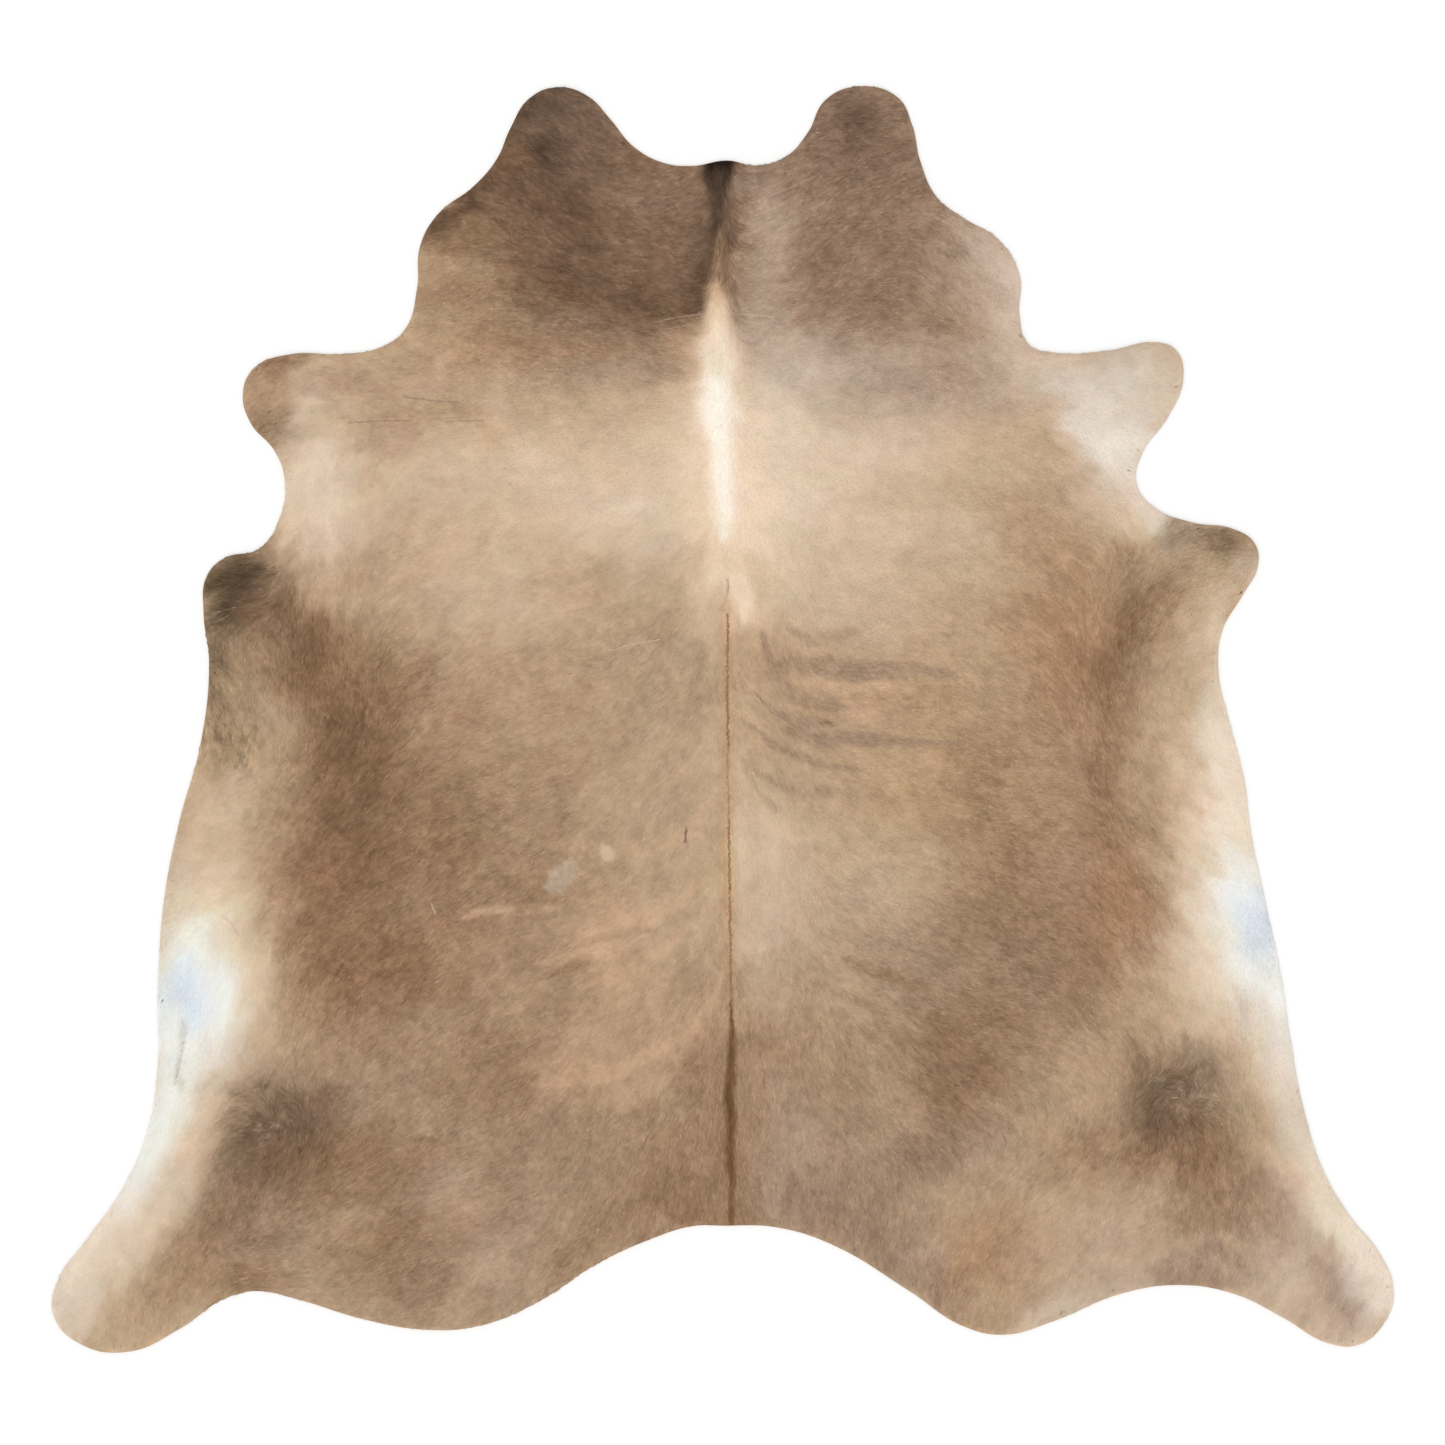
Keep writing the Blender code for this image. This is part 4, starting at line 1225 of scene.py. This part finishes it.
def cut_grid(sheet, half, cell, flesh=None):
    """Cuts a square grid into the whole sheet, or into its flesh side, and gives that side."""
    for axis, facing in enumerate((Vector((1, 0, 0)), Vector((0, 1, 0)))):
        for place in np.arange(-half[axis], half[axis], cell)[1:]:
            if flesh is None:
                cut = sheet.verts[:] + sheet.edges[:] + sheet.faces[:]
            else:
                corners = dict.fromkeys(point for face in flesh for point in face.verts)
                sides = dict.fromkeys(side for face in flesh for side in face.edges)
                cut = [*corners, *sides, *flesh]
            made = bmesh.ops.bisect_plane(
                sheet, geom=cut, dist=SNAP * MM, plane_co=facing * place, plane_no=facing
            )
            if flesh is not None:
                flesh = only(bmesh.types.BMFace, made["geom"])
    return flesh


def close_under(sheet, half):
    """Drops a wall from the rim to the floor, and closes it with the flat flesh side."""
    rim = [side for side in sheet.edges if side.is_boundary]
    wall = bmesh.ops.extrude_edge_only(sheet, edges=rim)["geom"]
    for point in only(bmesh.types.BMVert, wall):
        point.co.z = 0
    for face in only(bmesh.types.BMFace, wall):
        face.material_index = CUT_SIDE
        face.smooth = True
    foot = [side for side in only(bmesh.types.BMEdge, wall) if side.is_boundary]
    flesh = bmesh.ops.contextual_create(sheet, geom=foot)["faces"]
    for face in cut_grid(sheet, half, FLESH_CELL * MM, flesh):
        face.material_index = FLESH_SIDE
        face.smooth = False


def skin_mesh(edge):
    """The closed sheet: ringed at its rim, gridded over its top and flat underneath."""
    half = edge.half * MM
    sheet = bmesh.new()
    sheet.from_mesh(edge.mesh)
    top = bmesh.ops.contextual_create(sheet, geom=sheet.edges[:])["faces"]
    for width in RIM_RINGS:
        bmesh.ops.inset_individual(
            sheet, faces=top, thickness=width * MM, depth=0, use_even_offset=True
        )
    cut_grid(sheet, half, bpy.context.scene.hide_sizes.cell)
    across, along = flat_places(sheet.verts)
    rise = rim_share(edge.inside(across, along))
    height = (coat_height(across, along) - UNDER_HAIR) * rise * MM
    for point, z in zip(sheet.verts, height.tolist()):
        point.co.z = z
    for face in sheet.faces:
        face.smooth = True
    close_under(sheet, half)
    for side in sheet.edges:
        side.smooth = len({face.material_index == FLESH_SIDE for face in side.link_faces}) == 1
    bmesh.ops.recalc_face_normals(sheet, faces=sheet.faces)
    mesh = bpy.data.meshes.new("hide_skin")
    sheet.to_mesh(mesh)
    sheet.free()
    return mesh


def paint_values():
    """The paints as the panel has them."""
    paints = bpy.context.scene.hide_paints
    return {name: np.array(getattr(paints, name.replace(" ", "_"))) for name in PAINTS}


def hair_light(shown):
    """The light value that the hair needs to show a display colour under the stage's light."""
    light = linear(np.clip(shown, 0, 1)) * bpy.context.scene.hide_sizes.brightness
    return np.maximum(light - GLOSS, DARKEST)


def give_colours(mesh, colours):
    """Keeps light values on the mesh's points for its material to read."""
    layer = mesh.color_attributes.new(COLOUR_LAYER, "FLOAT_COLOR", "POINT")
    values = np.ones((len(mesh.vertices), 4), dtype=np.float32)
    values[:, :3] = colours
    layer.data.foreach_set("color", values.ravel())


def lock_roots(edge, draw):
    """Places for the roots of the locks: a grid, with each place moved about in its own cell."""
    spacing = bpy.context.scene.hide_sizes.lock_spacing / MM
    rows = [np.arange(-far, far, spacing) for far in edge.half + spacing]
    places = [part.ravel() for part in np.meshgrid(*rows)]
    across, along = (part + draw.uniform(-0.5, 0.5, part.size) * spacing for part in places)
    inside = edge.inside(across, along)
    kept = inside > ROOT_INSET
    return across[kept], along[kept], inside[kept]


def combed_locks(edge, draw):
    """The locks that cover the hide, each with its own chance in length, width, lift and way."""
    sizes = bpy.context.scene.hide_sizes
    across, along, inside = lock_roots(edge, draw)
    count = across.size
    style = np.tile([sizes.lock_length / MM, sizes.lock_lift / MM, STRAY], (count, 1))
    for place, size, turn, *own in HAIR_STYLES.values():
        cover = patch_cover(across, along, place, size, turn, STYLE_SOFT)
        style += cover[:, None] * (own - style)
    length, lift, stray = style.T
    length = length * draw.uniform(*LENGTHS, count)
    width = sizes.lock_width / MM * draw.uniform(*WIDTHS, count)
    lift = lift * draw.uniform(*LIFTS, count)
    arrow = comb(across, along)
    angle = np.arctan2(arrow[1], arrow[0]) + np.radians(stray) * draw.standard_normal(count)
    tint = np.zeros((count, 4))
    return dict(
        across=across, along=along, inside=inside, angle=angle,
        length=length, width=width, lift=lift, tint=tint,
    )


def thread_locks(edge, draw):
    """The locks that lie along fine lines, tinted with the line's paint at its strength."""
    paints = paint_values()
    rows = []
    for route, half, tone, strength in THREADS.values():
        line = smooth_route(route)
        for start, end in zip(line, line[1:]):
            step = end - start
            size = np.hypot(*step)
            angle = np.arctan2(step[1], step[0])
            for way in np.arange(0, size, THREAD_STEP) / size:
                place = start + way * step
                place += draw.uniform(-0.5, 0.5) * half * np.array([-step[1], step[0]]) / size
                rows.append((*place, angle, THREAD_WIDTH * half, *paints[tone], strength))
    across, along, angle, width, *tint = np.array(rows).T
    inside = edge.inside(across, along)
    length = THREAD_LENGTH * draw.uniform(*THREAD_SHARES, len(rows))
    lift = THREAD_LIFT * draw.uniform(*THREAD_SHARES, len(rows))
    tint = np.stack(tint, axis=1)
    return dict(
        across=across, along=along, inside=inside, angle=angle,
        length=length, width=width, lift=lift, tint=tint,
    )


def all_locks(edge, draw):
    """Both kinds of locks together, cut where they would reach past the trimmed edge."""
    kinds = [make(edge, draw) for make in (combed_locks, thread_locks)]
    joined = {name: np.concatenate([kind[name] for kind in kinds]) for name in kinds[0]}
    locks = SimpleNamespace(**joined)
    locks.right = np.cos(locks.angle)
    locks.up = np.sin(locks.angle)
    tip = (locks.across + locks.right * locks.length, locks.along + locks.up * locks.length)
    reach = edge.inside(*tip)
    over = -bpy.context.scene.hide_sizes.overhang / MM
    left = (locks.inside - over) / np.maximum(locks.inside - reach, CLOSE)
    locks.length = locks.length * np.where(reach < over, left, 1)
    kept = locks.length > SHORTEST
    return SimpleNamespace(**{name: part[kept] for name, part in vars(locks).items()})


def comb_locks(edge):
    """Every lock of the coat: its corners, the colours of its body and tip, and its chance."""
    draw = np.random.default_rng(bpy.context.scene.hide_sizes.seed)
    locks = all_locks(edge, draw)
    count = locks.length.size
    bend = draw.uniform(-BEND, BEND, count) * locks.length
    middle = WIDEST * locks.length

    def place_on(forward, aside=0):
        """The place this far along each lock and this far to its left."""
        across = locks.across + locks.right * forward - locks.up * aside
        return across, locks.along + locks.up * forward + locks.right * aside

    corners = np.empty((count, 4, 3))
    side = locks.width / 2
    ways = ((0, 0), (middle, side), (middle, -side), (locks.length, bend))
    rises = (-ROOT_DEPTH, -SIDE_DEPTH, -SIDE_DEPTH, locks.lift)
    for corner, way, rise in zip(corners.swapaxes(0, 1), ways, rises):
        x, y = place_on(*way)
        corner[:] = np.stack([x, y, coat_surface(edge, x, y) + rise], axis=1)
    chance = draw.standard_normal(count)
    parts = []
    for way in (middle, locks.length):
        shown = coat_colours(*place_on(way), paint_values())
        shown += locks.tint[:, 3:] * (locks.tint[:, :3] - shown)
        shown = shaded(shown, LOCK_SPREAD * unevenness(shown)["flecks"] * chance)
        parts.append(hair_light(shown))
    return corners, np.stack(parts, axis=1), draw.integers(0, STRAND_LAYOUTS, (count, 2))


def lock_faces(count):
    """Four faces for each closed lock: two under it and two over it."""
    first = 4 * np.arange(count)[:, None]
    under = np.concatenate([first + (0, 1, 2), first + (3, 2, 1)])
    over = np.stack([first + (0, 3, 1), first + (0, 2, 3)], axis=1).reshape(-1, 3)
    return np.concatenate([under, over])


def add_map(mesh, name, places, corners):
    """A map of the mesh with those places for its points."""
    layer = mesh.uv_layers.new(name=name)
    layer.data.foreach_set("uv", places[corners].astype(np.float32).ravel())


def lock_piece(name, corners, colour, chance, material):
    """One stretch of the coat as a joined mesh of closed, pointed locks."""
    order = np.argsort(corners[:, 0, 1])
    corners, colour, chance = corners[order], colour[order], chance[order]
    faces = lock_faces(len(corners))
    mesh = bpy.data.meshes.new(name)
    mesh.vertices.add(corners.size // 3)
    mesh.vertices.foreach_set("co", (corners * MM).astype(np.float32).ravel())
    mesh.loops.add(faces.size)
    mesh.loops.foreach_set("vertex_index", faces.astype(np.int32).ravel())
    mesh.polygons.add(len(faces))
    mesh.polygons.foreach_set("loop_start", np.arange(0, faces.size, 3, dtype=np.int32))
    mesh.update(calc_edges=True)
    mesh.shade_flat()
    # painted shade at each lock's root and painted light at its tip
    root_tip_light = np.array([ROOT_PAINTED_SHADE, 1.0, 1.0, TIP_PAINTED_LIGHT])
    give_colours(mesh, (colour[:, (0, 0, 0, 1)] * root_tip_light[None, :, None]).reshape(-1, 3))
    places = corners.reshape(-1, 3)[:, :2]
    low, high = places.min(0), places.max(0)
    add_map(mesh, BAKE_MAP, (places - low) / (high - low), faces.ravel())
    own = np.array([(0.5, 0), (0, WIDEST), (1, WIDEST), (0.5, 1)])
    own = (own[None] + chance[:, None, :]).reshape(-1, 2)
    add_map(mesh, STRAND_MAP, own, faces.ravel())
    mesh.materials.append(material)
    return bpy.data.objects.new(name, mesh)


def paint_prop(name, colour):
    return FloatVectorProperty(
        name=name.capitalize(),
        description=f"The coat's {name}, as seen on a display",
        default=colour,
        size=3,
        min=0.0,
        max=1.0,
        subtype="COLOR_GAMMA",
    )


def length_prop(name, description, default):
    return FloatProperty(name=name, description=description, default=default, unit="LENGTH")


class HidePaints(PropertyGroup):
    """The colours that the markings are laid in."""

    __annotations__ = {
        name.replace(" ", "_"): paint_prop(name, colour) for name, colour in PAINTS.items()
    }


class HideSizes(PropertyGroup):
    """How finely the sheet is stepped and how its hair is cut and laid."""

    cell: length_prop("Cell", "Spacing of the sheet's grid", 0.008)
    lock_spacing: length_prop("Lock spacing", "From one lock's root to the next", 0.0039)
    lock_length: length_prop("Lock length", "Usual length of a lock", 0.012)
    lock_width: length_prop("Lock width", "Usual width of a lock", 0.0030)
    lock_lift: length_prop("Lock lift", "How far a tip stands over the coat's surface", 0.0003)
    overhang: length_prop("Overhang", "How far a tip may reach past the trimmed edge", 0.0004)
    brightness: FloatProperty(
        name="Brightness", description="Light value of the whole coat", default=0.939, min=0.1
    )
    seed: IntProperty(name="Seed", description="Which chance layout the hair has", default=7)


class StageSettings(PropertyGroup):
    """The floor, the light and the camera."""

    floor_colour: FloatVectorProperty(
        name="Floor", description="Colour of the floor", default=(0.90, 0.90, 0.90), subtype="COLOR"
    )
    sky: FloatProperty(name="Sky", description="Strength of the even light", default=0.90)
    sun: FloatProperty(name="Sun", description="Strength of the soft main light", default=0.90)
    camera_height: length_prop("Camera height", "Camera over the floor", 9.0)
    frame_width: length_prop(
        "Frame width", "Width of the picture at the hide", PICTURE_PIXELS * PIXEL * MM
    )


class COWHIDE_OT_skin(Operator):
    """Lay the tanned skin as one closed sheet"""

    bl_idname = "cowhide.skin"
    bl_label = "Skin"

    def execute(self, context):
        mesh = skin_mesh(TrimmedEdge())
        colours = coat_colours(*flat_places(mesh.vertices), paint_values())
        give_colours(mesh, hair_light(colours))
        mesh.materials.append(under_hair_material())
        mesh.materials.append(skin_material("cut skin"))
        mesh.materials.append(skin_material("flesh side"))
        place_piece(bpy.data.objects.new("hide_skin", mesh))
        return {"FINISHED"}


class COWHIDE_OT_coat(Operator):
    """Comb the hair on as closed locks, one piece for each stretch of the body"""

    bl_idname = "cowhide.coat"
    bl_label = "Coat"

    def execute(self, context):
        corners, colour, chance = comb_locks(TrimmedEdge())
        material = hair_material()
        roots = corners[:, 0]
        for name, left, right, low, high in STRETCHES:
            here = (roots[:, 0] >= left) & (roots[:, 0] < right)
            here &= (roots[:, 1] >= low) & (roots[:, 1] < high)
            if not here.any():
                raise RuntimeError(f"{name} has no hair")
            piece = lock_piece(name, corners[here], colour[here], chance[here], material)
            place_piece(piece)
        return {"FINISHED"}


class COWHIDE_OT_stage(Operator):
    """Set the pale floor, the soft light and the camera straight above"""

    bl_idname = "cowhide.stage"
    bl_label = "Stage"

    def execute(self, context):
        settings = context.scene.hide_stage
        floor = bmesh.new()
        bmesh.ops.create_grid(
            floor, x_segments=FLOOR_CELLS, y_segments=FLOOR_CELLS, size=FLOOR_REACH
        )
        bmesh.ops.translate(floor, verts=floor.verts, vec=(0, 0, FLOOR_DROP))
        mesh = bpy.data.meshes.new("floor")
        floor.to_mesh(mesh)
        floor.free()
        material, tree = new_material("pale floor")
        shader = finish_shader(tree, FLOOR_ROUGHNESS, FLOOR_GLOSS)
        shader.inputs["Base Color"].default_value = (*settings.floor_colour, 1.0)
        mesh.materials.append(material)
        stand = bpy.data.objects.new("floor", mesh)
        context.scene.collection.objects.link(stand)
        stand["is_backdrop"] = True

        world = bpy.data.worlds.new("soft studio")
        world.use_nodes = True
        sky = world.node_tree.nodes["Background"]
        sky.inputs["Color"].default_value = (1.0, 1.0, 1.0, 1.0)
        sky.inputs["Strength"].default_value = settings.sky
        context.scene.world = world
        light = bpy.data.lights.new("soft sun", "SUN")
        light.energy = settings.sun
        light.angle = SUN_SPREAD
        sun = bpy.data.objects.new("soft sun", light)
        sun.rotation_euler = SUN_TURN
        context.scene.collection.objects.link(sun)

        lens = bpy.data.cameras.new("camera")
        lens.sensor_width = SENSOR
        lens.lens = SENSOR * settings.camera_height / settings.frame_width
        lens.clip_end = CAMERA_REACH
        camera = bpy.data.objects.new("camera", lens)
        camera.location = (0.0, CAMERA_SHIFT, settings.camera_height)
        context.scene.collection.objects.link(camera)
        context.scene.camera = camera
        context.scene.view_settings.view_transform = "Standard"
        return {"FINISHED"}


class COWHIDE_PT_panel(Panel):
    """Lists the steps that make the rug and its stage"""

    bl_idname = "COWHIDE_PT_panel"
    bl_label = "Cowhide Rug"
    bl_space_type = "VIEW_3D"
    bl_region_type = "UI"
    bl_category = "Cowhide"

    def draw(self, context):
        scene = context.scene
        for settings in (scene.hide_sizes, scene.hide_paints, scene.hide_stage):
            box = self.layout.box()
            for name in settings.__annotations__:
                box.prop(settings, name)
        for step in STEPS:
            self.layout.operator(step.bl_idname)


STEPS = (COWHIDE_OT_skin, COWHIDE_OT_coat, COWHIDE_OT_stage)
SETTINGS = {"hide_sizes": HideSizes, "hide_paints": HidePaints, "hide_stage": StageSettings}
CLASSES = (*SETTINGS.values(), *STEPS, COWHIDE_PT_panel)


def register():
    for item in CLASSES:
        bpy.utils.register_class(item)
    for name, settings in SETTINGS.items():
        setattr(bpy.types.Scene, name, PointerProperty(type=settings))


def unregister():
    for name in SETTINGS:
        delattr(bpy.types.Scene, name)
    for item in reversed(CLASSES):
        bpy.utils.unregister_class(item)


def main():
    register()
    bpy.ops.cowhide.skin()
    bpy.ops.cowhide.coat()
    bpy.ops.cowhide.stage()
    boxes = {"cad": CAD_BOX, "visual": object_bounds()}
    boxes = {name: [list(corner) for corner in box] for name, box in boxes.items()}


if __name__ == "__main__":
    main()
